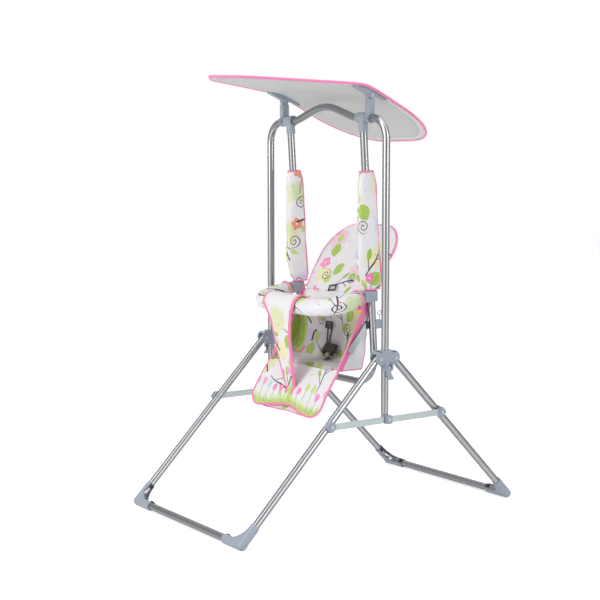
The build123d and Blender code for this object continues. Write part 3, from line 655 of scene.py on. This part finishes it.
def roll(name, points, radius, closed=False, body="swing", slot="pink_binding", finish=None):
    # Round edging along a line
    curve = bpy.data.curves.new(name, "CURVE")
    curve.dimensions = "3D"
    spline = curve.splines.new("POLY")
    spline.points.add(len(points) - 1)
    for point, place in zip(spline.points, points):
        point.co = (*place, 1)
    spline.use_cyclic_u = closed
    curve.bevel_depth = radius
    curve.bevel_resolution = 3
    curve.use_fill_caps = not closed
    holder = bpy.data.objects.new(name, curve)
    bm = bmesh.new()
    bm.from_mesh(bpy.data.meshes.new_from_object(holder))
    bpy.data.objects.remove(holder)
    bmesh.ops.remove_doubles(bm, verts=bm.verts, dist=radius * 0.02)
    faceOut(bm)
    return newPiece(name, bm, finish or finishes[slot], body)


# Canopy

shade = dict(
    corners=[(0, -0.407, 0.025), (0.084, -0.348, 0.09), (0.234, -0.06, 0.09), (0.234, 0.29, 0.17)],
    tapeRadius=0.004,
    foldY=-0.018,
    foldZ=1.249,
    frontPitch=3.0,
    rearPitch=26.1,
    foldSoftness=0.01,
    sag=0.005,
    # how far in the cloth is drawn tight
    tightSide=0.06,
    tightEnd=0.08,
    thickness=0.003,
    flat=(0.46, 0.73),
)


def shadeHeight(y):
    front = shade["foldZ"] + (shade["foldY"] - y) * tan(radians(shade["frontPitch"]))
    rear = shade["foldZ"] - (y - shade["foldY"]) * tan(radians(shade["rearPitch"]))
    gap = front - rear
    return (front + rear - sqrt(gap * gap + shade["foldSoftness"] ** 2)) / 2


def halfWidths(outline, inset):
    # Pairs of (y, half width)
    return sorted((p.y, max(p.x - inset, 0.0)) for p in outline if p.x >= -1e-9)


def widthAt(pairs, y):
    return between(pairs, y, 0)[0]


def makeShade():
    outline = ringPath(shade["corners"], 600)
    radius = shade["tapeRadius"]
    pairs = halfWidths(outline, radius)
    low, high = pairs[0][0] + radius, pairs[-1][0] - radius

    def spot(u, v):
        part = v - 0.11 * sin(2 * pi * v)
        y = low + (high - low) * part
        return u * widthAt(pairs, y), y

    def place(u, v):
        x, y = spot(u, v)
        side = (1 - abs(u)) * widthAt(pairs, y) / shade["tightSide"]
        edge = min(1.0, side, (y - low) / shade["tightEnd"], (high - y) / shade["tightEnd"])
        drop = shade["sag"] * smoothStep(edge) * (0.6 + 0.4 * cos(7 * y))
        ripple = 0.0016 * noise((x * 9, y * 7, 0.5))
        ripple += 0.0011 * sin(26 * (x + 0.6 * abs(y))) * noise((x * 3, y * 3, 4.0))
        return Vector((x, y, shadeHeight(y) - drop + ripple * smoothStep(edge)))

    bm = clothGrid(72, 104, place, spot, lambda u, v: True)
    top = clothFinish("canopy_print", 2.61)
    sheet = newPiece("canopySheet", bm, top, "canopy", ["canopy_shade"])
    # The underside takes the plain grey cloth, a painted shade
    sheet.data.materials.append(finishes["canopy_cloth"])
    thicken(sheet, shade["thickness"], under=1)
    centre = []
    for index, point in enumerate(outline):
        ahead = outline[(index + 1) % len(outline)] - outline[index - 1]
        inner = point + Vector((-ahead.y, ahead.x)).normalized() * radius
        centre.append(Vector((inner.x, inner.y, shadeHeight(inner.y))))
    tape = roll("canopyTape", spaced(centre, 300, True), radius, True, "canopy")
    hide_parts("canopy_binding")
    declareSheet(sheet, shade["flat"])


makeShade()
print("canopy ready")

# Sleeves on the hangers

sleeve = dict(
    hangerX=0.181,
    pivotZ=1.158,
    lean=3.8,
    top=0.154,
    foot=0.4945,
    halfWidth=0.0185,
    # how far down, half depth, how far back of the tube
    stations=[(0.0, 0.029, 0.004), (0.15, 0.031, 0.003), (0.55, 0.035, -0.001),
                 (0.78, 0.039, -0.004), (0.93, 0.0345, 0.002), (1.0, 0.0285, 0.006)],
    # the left one is a little flatter
    flatter=0.93,
    rows=72,
    mouth=0.0125,
    thickness=0.0018,
    flatHalf=0.088,
    flatLength=0.345,
    tapeRadius=0.0026,
)


def onHanger(side, part, across, back):
    # part runs from the top hem to the foot hem
    lean = radians(sleeve["lean"])
    down = sleeve["top"] + (sleeve["foot"] - sleeve["top"]) * part
    y = down * sin(lean) + back * cos(lean)
    z = sleeve["pivotZ"] - down * cos(lean) + back * sin(lean)
    return Vector((side * (sleeve["hangerX"] + across), y, z))


def sleevePoint(side, turn, part, grow=0.0):
    depth, back = between(sleeve["stations"], part)
    depth *= sleeve["flatter"] if side < 0 else 1.0
    c, s = cos(turn), sin(turn)
    rounding = 0.8 if c < 0 else 0.8 + 1.25 * c * c
    across = sleeve["halfWidth"] * (abs(s) ** rounding) * (1 if s > 0 else -1)
    deep = depth * (abs(c) ** 0.86) * (1 if c > 0 else -1)
    pinch = 1 - 0.22 * (1 - smoothStep(part / 0.09)) - 0.1 * (1 - smoothStep((1 - part) / 0.06))
    seed = 3.0 * side
    soft = 0.0016 * noise((c * 1.6 + seed, s * 1.6, part * 5.0))
    soft += 0.0011 * noise((c * 4 + seed, s * 4, part * 11.0))
    crease = 0.0009 * sin(3 * turn + 9 * part + side) * smoothStep(4 * part * (1 - part))
    scale = pinch * (1 + (soft + crease) / 0.03) + grow / 0.03
    return onHanger(side, part, across * scale, back + deep * scale)


def makeSleeve(name, side):
    rows = sleeve["rows"]

    def place(u, v):
        # The first and last rows fold in to the tube
        turn = pi * u
        row = v * (rows + 4) - 2
        part = min(max(row / rows, 0.0), 1.0)
        mouth = onHanger(side, part, sleeve["mouth"] * sin(turn), sleeve["mouth"] * cos(turn))
        return sleevePoint(side, turn, part).lerp(mouth, min(max(-row, row - rows, 0.0) / 2, 1.0))

    wide, long = sleeve["flatHalf"], sleeve["flatLength"]
    bm = clothGrid(64, rows + 4, place, lambda u, v: (u * wide, v * long))
    bmesh.ops.remove_doubles(bm, verts=bm.verts, dist=0.0002)
    faceOut(bm)
    finish = clothFinish(f"sleevePrint{name}", 6.4 + side)
    piece = newPiece(f"sleeve{name}Cloth", bm, finish, replaced=[f"sleeve_{name.lower()}"])
    thicken(piece, sleeve["thickness"], -1.0)
    seam = [sleevePoint(side, 0.0, step / 60, sleeve["thickness"]) for step in range(61)]
    roll(f"sleeve{name}Seam", seam, sleeve["tapeRadius"])
    for hem, part in (("TopHem", 0.0), ("FootHem", 1.0)):
        ring = [sleevePoint(side, 2 * pi * step / 64, part) for step in range(64)]
        roll(f"sleeve{name}{hem}", ring, sleeve["tapeRadius"], True)


for name, side in sides:
    makeSleeve(name, side)
print("sleeves ready")

# Sling: seat and lower back, calf panel and its second layer, sides

sling = dict(
    halfWidth=0.164,
    # side view from the calf panel's top to the backrest's foot
    profile=[(-0.079, 0.4335), (-0.05, 0.4395), (-0.018, 0.439), (0.004, 0.447),
                (0.0145, 0.47), (0.024, 0.52), (0.033, 0.58), (0.041, 0.64)],
    crease=0.447,
    padThickness=0.009,
    seamX=0.157,
    pressure=3.0,
    cap=0.0022,
    # the green patch's place and radius on the cloth
    patch=(-0.158, 0.15, 0.05),
    # brightness left where the seat cloth is darkened low down, a painted shade
    light=0.6,
    sideX=0.1662,
    sideBulge=0.003,
    sideFlat=(0.094, 0.25),
    sideTape=0.019,
    sidePatch=(0.004, 0.105, 0.056),
    # the same painted shade low down on the left side panel
    sidePaintedShadeLight=0.7,
    # side view of the side panels' edges
    sideFront=[(-0.08, 0.429), (-0.044, 0.498), (-0.012, 0.556), (0.019, 0.616), (0.038, 0.648)],
    sideRear=[(0.012, 0.429), (0.021, 0.468), (0.026, 0.52), (0.0385, 0.613), (0.047, 0.648)],
    calfTop=(-0.08, 0.428),
    calfPitch=58.7,
    calfLength=0.148,
    hemRise=0.019,
    calfHalf=0.175,
    calfCorner=0.04,
    flapDrop=0.003,
    flapHalf=0.15,
    flapLength=0.094,
    tape=0.0045,
    edgeOut=0.0058,
    rollRadius=0.0028,
)


def smoothLine(points, count):
    # Evenly spaced points on a spline
    line = []
    for index in range(len(points) - 1):
        knots = [Vector(points[min(max(index + k, 0), len(points) - 1)]) for k in (-1, 0, 1, 2)]
        for step in range(12):
            t = step / 12
            a, b, c, d = knots
            bend = (2 * a - 5 * b + 4 * c - d) * t * t
            line.append(0.5 * (2 * b + (c - a) * t + bend + (3 * b - a - 3 * c + d) * t ** 3))
    line.append(Vector(points[-1]))
    return spaced(line, count)


def along(line, part):
    spot = min(max(part, 0.0), 1.0) * (len(line) - 1)
    low = min(int(spot), len(line) - 2)
    return line[low].lerp(line[low + 1], spot - low)


def lineLength(line):
    return sum((b - a).length for a, b in zip(line, line[1:]))


def applied(piece):
    bpy.context.view_layer.update()
    mesh = bpy.data.meshes.new_from_object(piece.evaluated_get(bpy.context.evaluated_depsgraph_get()))
    piece.modifiers.clear()
    old = piece.data
    piece.data = mesh
    bpy.data.meshes.remove(old)
    return mesh


def puff(piece, voxel, pressure, cap, held):
    # Stuffs a closed pad; no point moves further than cap, and none where held says so
    applied(piece)
    even = piece.modifiers.new("even", "REMESH")
    even.mode = "VOXEL"
    even.voxel_size = voxel
    mesh = applied(piece)
    start = [vert.co.copy() for vert in mesh.vertices]
    group = piece.vertex_groups.new(name="seams")
    group.add([index for index, point in enumerate(start) if held(point)], 1.0, "REPLACE")
    stuffing = piece.modifiers.new("stuffing", "CLOTH")
    stuffing.settings.vertex_group_mass = "seams"
    stuffing.settings.quality = 5
    stuffing.settings.use_pressure = True
    stuffing.settings.uniform_pressure_force = pressure
    stuffing.settings.effector_weights.gravity = 0
    stuffing.point_cache.frame_start = 1
    stuffing.point_cache.frame_end = puffFrames
    for number in range(1, puffFrames + 1):
        scene.frame_set(number)
    mesh = applied(piece)
    scene.frame_set(1)
    for vert, place in zip(mesh.vertices, start):
        move = vert.co - place
        if move.length > cap:
            vert.co = place + move * (cap / move.length)
    bm = bmesh.new()
    bm.from_mesh(mesh)
    for _ in range(3):
        bmesh.ops.smooth_vert(bm, verts=bm.verts, factor=0.5, use_axis_x=True, use_axis_y=True, use_axis_z=True)
    bm.to_mesh(mesh)
    bm.free()
    mesh.shade_smooth()


def spreadCloth(piece, flat):
    # Gives a remeshed pad its place on the flat cloth
    mesh = piece.data
    layer = mesh.uv_layers.new(name="cloth")
    for loop in mesh.loops:
        layer.data[loop.index].uv = flat(mesh.vertices[loop.vertex_index].co)
    mesh.attributes.new("rim", "FLOAT", "POINT").data.foreach_set("value", [1.0] * len(mesh.vertices))


def makeSeat():
    line = smoothLine(sling["profile"], 90)

    def place(u, v):
        spot = along(line, v)
        ahead = along(line, v + 0.01) - along(line, v - 0.01)
        lift = Vector((-ahead.y, ahead.x)).normalized()
        curl = 0.004 * abs(u) ** 6
        soft = 0.0018 * noise((u * 2.2, v * 5.0, 1.0)) + 0.0008 * sin(9 * u + 4 * v)
        return Vector((u * sling["halfWidth"], *(spot + lift * (curl + soft))))

    bm = clothGrid(56, 72, place)
    # The seat cloth gets the green patch, and painted shade low down
    finish = clothFinish("seatPrint", 1.93, blot=sling["patch"], light=sling["light"])
    seat = newPiece("seatLiner", bm, finish, replaced=["seat_pad", "lower_back"])
    thicken(seat, sling["padThickness"], -1.0, False)
    puff(seat, 0.004, sling["pressure"], sling["cap"], lambda p: abs(p.x) > sling["seamX"])
    crease = sling["crease"]
    spreadCloth(seat, lambda p: (p.x, p.y + 0.08 if p.z < crease else 0.09 + p.z - crease))


def calfSpot(down, x, off):
    pitch = radians(sling["calfPitch"])
    y = sling["calfTop"][0] - down * cos(pitch) - off * sin(pitch)
    z = sling["calfTop"][1] - down * sin(pitch) + off * cos(pitch)
    return Vector((x, y, z))


def calfHalf(down, half):
    corner = sling["calfCorner"]
    low = down - (sling["calfLength"] - corner)
    return half if low <= 0 else half - corner + sqrt(max(corner * corner - low * low, 0.0))


def calfBelly(part):
    return 0.004 * sin(pi * part)


def calfWave(x, part):
    # The hem is drawn up at the middle, and folds run up from it
    hem = -sling["hemRise"] * smoothStep(1 - abs(x) / 0.105) + 0.0025 * sin(47 * x + 2.0)
    fold = 0.0038 * sin(26 * x + 0.5) + 0.002 * sin(58 * x)
    return hem * part ** 3, fold * part ** 2


def makeCalf():
    length, half = sling["calfLength"], sling["calfHalf"]

    def spot(u, v):
        down = length * (1 - (1 - v) ** 1.25)
        return u * calfHalf(down, half), down

    def place(u, v):
        x, down = spot(u, v)
        hem, fold = calfWave(x, down / length)
        return calfSpot(down + hem, x, calfBelly(down / length) + fold)

    def flat(u, v):
        x, down = spot(u, v)
        return x, length - down

    bm = clothGrid(72, 44, place, flat, lambda u, v: v > 0.01)
    finish = clothFinish("calfPrint", 6.2, tape=sling["tape"], grass=True)
    calf = newPiece("calfPanel", bm, finish, replaced=["calf_panel"])
    thicken(calf, 0.003)

    drop, wide = sling["flapDrop"], sling["flapHalf"]

    def flapPlace(u, v):
        down = length * 0.55 + (length * 0.45 + drop) * v
        x = u * calfHalf(down - drop, wide)
        hem, fold = calfWave(x, min(down / length, 1.0))
        return calfSpot(down + 0.12 * hem, x, fold * 0.8 - 0.0085)

    bm = clothGrid(56, 20, flapPlace, lambda u, v: (u * wide, v * 0.085), lambda u, v: v > 0.01)
    flap = newPiece("calfSecondLayer", bm, clothFinish("flapPrint", 8.8, tape=0.004), replaced=["calf_flap"])
    thicken(flap, 0.0022)

    # One edging runs from bracket to bracket, round the calf panel's hem
    front = smoothLine(sling["sideFront"][::-1], 40)
    right = [Vector((0.1612, 0.0495, 0.65))]
    for step, point in enumerate(front):
        out = -0.0012 + sling["edgeOut"] * smoothStep((0.626 - point.y) / 0.03)
        right.append(Vector((sling["sideX"] + out, point.x + 0.003 * (1 - step / 39), point.y)))
    count = len(right)
    right = right[:-1] + [place(1, step / 30) for step in range(1, 31)]
    bottom = [place(1 - step / 24, 1) for step in range(1, 48)]
    left = [place(-1, step / 30) for step in range(30, 0, -1)]
    left += [Vector((-p.x, p.y, p.z)) for p in right[count - 2::-1]]
    edging = roll("slingEdging", spaced(right + bottom + left, 420), sling["rollRadius"])
    declareSheet(calf, (2 * half, length + 0.01))
    declareSheet(flap, (2 * wide, sling["flapLength"]))


def makeSides():
    front, rear = smoothLine(sling["sideFront"], 60), smoothLine(sling["sideRear"], 60)
    for name, side in sides:

        def place(u, v):
            a, b = along(front, v), along(rear, v)
            spot = a.lerp(b, (u + 1) / 2)
            bulge = sling["sideBulge"] * sin(pi * v) * sin(pi * (u + 1) / 2)
            wrinkle = 0.0016 * noise((v * 6, u * 1.5, 7.0 * side)) + 0.0008 * sin(20 * v + 3 * u)
            return Vector((side * (sling["sideX"] + bulge + wrinkle), spot.x, spot.y))

        bm = clothGrid(26, 52, place, lambda u, v: (u * 0.045, v * 0.24), lambda u, v: u < -0.99)
        faceOut(bm)
        # The left panel is darkened low down, a painted shade
        patch = {"blot": sling["sidePatch"], "light": sling["sidePaintedShadeLight"]} if side < 0 else {}
        # inner gives the tape a paler edge line, a painted highlight
        finish = clothFinish(f"sidePrint{name}", 11.3, tape=sling["sideTape"], inner=0.004, bare=True, **patch)
        piece = newPiece(f"sidePanel{name}", bm, finish)
        thicken(piece, 0.0026)
        heel = [place(-1 + step / 8, 0) for step in range(16)] + [place(1, step / 20) for step in range(19)]
        edging = roll(f"sideEdging{name}", spaced(heel, 90), 0.0022)
        declareSheet(piece, sling["sideFlat"])
        if side > 0:
            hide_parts("side_panels")


makeSeat()
makeCalf()
makeSides()
print("sling ready")

# Backrest

backrest = dict(
    foot=(0.0455, 0.642),
    pitch=32.6,
    corners=[(0.16, -0.006, 0.012), (0.161, 0.075, 0.09), (0.169, 0.122, 0.09), (0.169, 0.236, 0.11)],
    thickness=0.012,
    dish=0.01,
    # how far back its top bends
    bend=0.014,
    pressure=4.0,
    cap=0.005,
)


def onBackrest(x, up, out):
    pitch = radians(backrest["pitch"])
    y = backrest["foot"][0] + up * sin(pitch) - out * cos(pitch) + backrest["bend"] * smoothStep(up / 0.19)
    z = backrest["foot"][1] + up * cos(pitch) + out * sin(pitch)
    return Vector((x, y, z))


def onPad(x, up, soft=0.0):
    dish = backrest["dish"] * (x / 0.175) ** 2 * smoothStep(up / 0.08) - 0.002 * smoothStep(up / 0.2)
    return onBackrest(x, up, dish + soft)


def makeBackrest():
    outline = ringPath(backrest["corners"], 360)
    pairs = halfWidths(outline, 0.002)
    low, high = pairs[0][0] + 0.001, pairs[-1][0] - 0.001

    def place(u, v):
        up = low + (high - low) * (v - 0.06 * sin(2 * pi * v))
        x = u * widthAt(pairs, up)
        soft = 0.0016 * noise((x * 14, up * 9, 2.0)) - 0.0014 * smoothStep(1 - abs(x + 0.055) / 0.02)
        return onPad(x, up, soft)

    bm = clothGrid(60, 48, place)
    faceOut(bm)
    pad = newPiece("backrestPad", bm, clothFinish("backrestPrint", 0.83), replaced=["backrest"])
    thicken(pad, backrest["thickness"], smooth=False)
    edge = [onPad(p.x, p.y) for p in outline]
    rimTree = nearestOf(edge)
    puff(pad, 0.005, backrest["pressure"], backrest["cap"], lambda p: rimTree.find(p)[2] < 0.006)
    pitch, (y, z) = radians(backrest["pitch"]), backrest["foot"]
    spreadCloth(pad, lambda p: (p.x, (p.y - y) * sin(pitch) + (p.z - z) * cos(pitch)))
    roll("backrestEdging", [place for place, p in zip(edge, outline) if p.y > 0.008], 0.003)


makeBackrest()
print("backrest ready")

# Bumper and its strap

bumper = dict(
    frontZ=0.614,
    slope=0.184,
    front=-0.13,
    halfWidth=0.181,
    start=-0.0048,
    bend=0.065,
    radius=0.0262,
    # what the strap covers
    strapHalf=0.096,
    strapBack=-0.085,
    pressure=5.0,
    cap=0.0028,
    wrinkles=0.0011,
    cuffRadius=0.0272,
    cuffTape=0.003,
)


def bumperLine(count):
    x, y, start, bend = bumper["halfWidth"], bumper["front"], bumper["start"], bumper["bend"]
    flat = roundedPath([(-x, start, 0), (-x, y, bend), (x, y, bend), (x, start, 0)])
    return spaced([(p.x, p.y, bumper["frontZ"] + (p.y - y) * bumper["slope"]) for p in flat], count)


def underStrap(point):
    return abs(point.x) < bumper["strapHalf"] and point.y < bumper["strapBack"]


def makeBumper():
    points = bumperLine(161)
    long = lineLength(points)
    tree = nearestOf(points)
    finish = clothFinish("bumperPrint", 7.9)
    pad = roll("bumperPad", points, bumper["radius"], slot="printed_cloth", finish=finish)
    puff(pad, 0.0045, bumper["pressure"], bumper["cap"], underStrap)
    mesh = pad.data

    def around(co):
        # Share of the way along the roll, turn about it, and offset from its middle
        spot, index, _ = tree.find(co)
        flow = points[min(index + 1, 160)] - points[max(index - 1, 0)]
        side = Vector((flow.y, -flow.x, 0)).normalized()
        out = co - spot
        return index / 160, atan2(out.z, out.dot(side)), out

    for vert in mesh.vertices:
        part, turn, out = around(vert.co)
        bend = smoothStep(1 - abs(abs(part - 0.5) - 0.262) / 0.15)
        ripple = bumper["wrinkles"] * bend * sin(part * 2 * pi * 21 + 0.8 * sin(turn)) * (0.6 + 0.4 * cos(turn))
        soft = 0.0012 * noise(vert.co * 22)
        if not underStrap(vert.co):
            vert.co += out.normalized() * (ripple + soft)
    spreadCloth(pad, lambda p: (around(p)[0] * long, around(p)[1] * 0.028))
    subdivide(pad)
    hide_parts("bumper_padding")
    for name, spot in (("Left", 3), ("Right", 157)):
        centre = points[spot]
        across = Vector((bumper["cuffRadius"], 0, 0))
        up = Vector((0, -bumper["slope"], 1)).normalized() * bumper["cuffRadius"]
        turns = [2 * pi * k / 40 for k in range(40)]
        ring = [centre + across * cos(turn) + up * sin(turn) for turn in turns]
        roll(f"bumperCuff{name}", ring, bumper["cuffTape"], True)


strap = dict(
    wrapRadius=0.0298,
    # half width by height, and how far it is drawn to one side
    widths=[(0.34, 0.018), (0.36, 0.02), (0.39, 0.027), (0.43, 0.0335), (0.505, 0.04),
               (0.56, 0.0495), (0.59, 0.062), (0.614, 0.077), (0.64, 0.08)],
    drawn=[(0.34, 0.0), (0.43, 0.002), (0.505, -0.003), (0.575, -0.008), (0.614, -0.016), (0.64, -0.016)],
    hang=[(-0.1606, 0.598), (-0.157, 0.56), (-0.1515, 0.505), (-0.144, 0.45),
             (-0.136, 0.405), (-0.129, 0.37), (-0.134, 0.348)],
    # the share of its length behind the bumper, at full width
    behind=0.25,
    # the height below which it lies on the calf panel, and its place over that
    laid=0.38,
    over=0.003,
    thickness=0.0022,
    tape=0.0085,
    edging=0.0027,
    flatWidth=0.16,
)


def makeStrap():
    centre = Vector((bumper["front"], bumper["frontZ"]))
    turns = [radians(a) for a in range(-62, 181, 6)]
    wrap = [centre + Vector((cos(a), sin(a))) * strap["wrapRadius"] for a in turns]
    line = spaced(wrap + smoothLine(strap["hang"], 60), 140)
    long = lineLength(line)
    widths = strap["widths"]

    def place(u, v):
        spot = along(line, v)
        half = widthAt(widths, spot.y) if v > strap["behind"] else widths[-1][1]
        slack = 0.0016 * noise((u * 1.6, v * 7, 3.0)) * smoothStep((v - 0.35) / 0.2)
        bow = -0.003 * (1 - u * u) * smoothStep((v - 0.4) / 0.2) * smoothStep((1 - v) / 0.15)
        x = u * half + widthAt(strap["drawn"], spot.y)
        y = spot.x + slack + bow
        down = (sling["calfTop"][1] - spot.y) / sin(radians(sling["calfPitch"]))
        part = min(down / sling["calfLength"], 1.0)
        under = calfSpot(down, x, calfBelly(part) + calfWave(x, part)[1] + strap["over"]).y
        laid = smoothStep((strap["laid"] - spot.y) / 0.022)
        return Vector((x, y + (under - y) * laid, spot.y))

    def flat(u, v):
        return (place(u, v).x, (1 - v) * long)

    bm = clothGrid(36, 120, place, flat, lambda u, v: abs(u) > 0.99)
    faceOut(bm)
    finish = clothFinish("strapPrint", 5.17, tape=strap["tape"], grass=True)
    piece = newPiece("frontStrap", bm, finish, replaced=["t_strap"])
    piece.data.flip_normals()
    thicken(piece, strap["thickness"], 1.0)
    for name, side in sides:
        points = [place(side, step / 160) for step in range(161)]
        roll(f"frontStrapEdging{name}", points, strap["edging"])
    declareSheet(piece, (strap["flatWidth"], long))


makeBumper()
makeStrap()
print("bumper ready")

# Harness

harness = dict(
    ribbon=0.0016,
    ribbonHalf=0.01,
    strandHalf=0.0034,
    # x, height and distance off the lower back at both ends, and the steps between
    strands=[
        ((-0.015, 0.536, 0.003), (-0.003, 0.486, 0.007), 5),
        ((0.005, 0.536, 0.003), (0.006, 0.486, 0.007), 5),
        ((-0.088, 0.484, 0.003), (-0.082, 0.516, 0.003), 4),
        ((0.088, 0.505, 0.003), (0.086, 0.528, 0.003), 4),
    ],
    buckle=(0.031, -0.003, 0.477),
    buckleSize=(0.054, 0.011, 0.029),
    prongSize=(0.012, 0.008, 0.01),
    prongX=0.019,
)


def ribbonStrip(bm, points, half, across=(1, 0, 0)):
    # Flat webbing along a line
    side = Vector(across).normalized() * half
    rows = [[bm.verts.new(p - side), bm.verts.new(p + side)] for p in points]
    for before, after in zip(rows, rows[1:]):
        bm.faces.new((before[0], before[1], after[1], after[0]))


def frameRing(bm, centre, wide, tall, bar, thick, turn, split=True):
    # Strap adjuster, with a bar across its middle where it is split
    made = bmesh.ops.create_grid(bm, x_segments=3, y_segments=5, size=1)["verts"]
    xs = [-wide / 2, -wide / 2 + bar, wide / 2 - bar, wide / 2]
    ys = [-tall / 2, -tall / 2 + bar, -bar / 2, bar / 2, tall / 2 - bar, tall / 2]
    for vert in made:
        vert.co = xs[round((vert.co.x + 1) * 1.5)], ys[round((vert.co.y + 1) * 2.5)], 0
    least = bar / 2 if split else -1

    def inHole(face):
        middle = face.calc_center_median()
        return abs(middle.x) < wide / 2 - bar and least < abs(middle.y) < tall / 2 - bar

    holes = [face for face in {face for vert in made for face in vert.link_faces} if inHole(face)]
    bmesh.ops.delete(bm, geom=holes, context="FACES")
    live = [vert for vert in made if vert.is_valid]
    faces = list({face for vert in live for face in vert.link_faces})
    raised = bmesh.ops.extrude_face_region(bm, geom=faces)["geom"]
    lifted = [part for part in raised if isinstance(part, bmesh.types.BMVert)]
    bmesh.ops.translate(bm, verts=lifted, vec=(0, 0, thick))
    bmesh.ops.transform(bm, matrix=Matrix.Translation(centre) @ turn, verts=live + lifted)


def onWall(x, z, off=0.003):
    # Place in front of the lower back
    rows = [(height, y) for y, height in sling["profile"] if height >= sling["crease"]]
    return Vector((x, widthAt(rows, z) - off, z))


def turned(angle, axis):
    return Matrix.Rotation(radians(angle), 4, axis)


def makeBlock(bm, size):
    block = bmesh.ops.create_cube(bm, size=1)["verts"]
    bmesh.ops.scale(bm, vec=size, verts=block)
    return block


def makeHarness():
    half, narrow = harness["ribbonHalf"], harness["strandHalf"]
    bm = bmesh.new()
    for start, end, steps in harness["strands"]:
        spots = [Vector(start).lerp(Vector(end), k / steps) for k in range(steps + 1)]
        ribbonStrip(bm, [onWall(*spot) for spot in spots], narrow)
    start = onWall(-0.08, 0.516)
    ribbonStrip(bm, [start + Vector((0.004, 0, 0.0006)) * k for k in range(4)], narrow, (0, 0, 1))
    x, y, z = harness["buckle"]
    # From the seat up to the buckle, and away from it on both sides
    tongue = [Vector((x + 0.004, y - 0.026 + 0.005 * k, 0.4447 + 0.0004 * k * k)) for k in range(5)]
    ribbonStrip(bm, tongue, half)
    for side in (-1, 1):
        start, step = Vector((x + side * 0.024, y - 0.004, z - 0.004)), Vector((side * 0.004, 0.001, -0.003))
        ribbonStrip(bm, [start + step * k for k in range(4)], half * 0.8, (0, -0.4, 1))
    webbing = newPiece("harnessWebbing", bm, finishes["webbing"], replaced=["harness"])
    thicken(webbing, harness["ribbon"])

    bm = bmesh.new()
    frameRing(bm, onWall(-0.005, 0.541, 0.006), 0.034, 0.022, 0.0048, 0.0028, turned(81, "X"))
    shoulder = onBackrest(-0.012, 0.005, backrest["thickness"] / 2 + 0.006)
    frameRing(bm, shoulder, 0.033, 0.021, 0.0042, 0.0025, turned(57, "X") @ turned(12, "Z"), False)
    size = harness["buckleSize"]
    block = makeBlock(bm, size)
    edges = list({e for v in block for e in v.link_edges})
    buckle = bmesh.ops.bevel(bm, geom=edges, offset=0.003, segments=3, affect="EDGES", profile=0.5)["verts"]
    # Prongs at its lower corners
    for side in (-1, 1):
        prong = makeBlock(bm, harness["prongSize"])
        bmesh.ops.translate(bm, vec=(side * harness["prongX"], 0, -size[2] / 2 - 0.003), verts=prong)
        buckle += prong
    matrix = Matrix.Translation(harness["buckle"]) @ turned(-32, "X") @ turned(4, "Y")
    bmesh.ops.transform(bm, matrix=matrix, verts=buckle)
    newPiece("harnessBuckle", bm, finishes["dark_plastic"])


makeHarness()
print("harness ready")
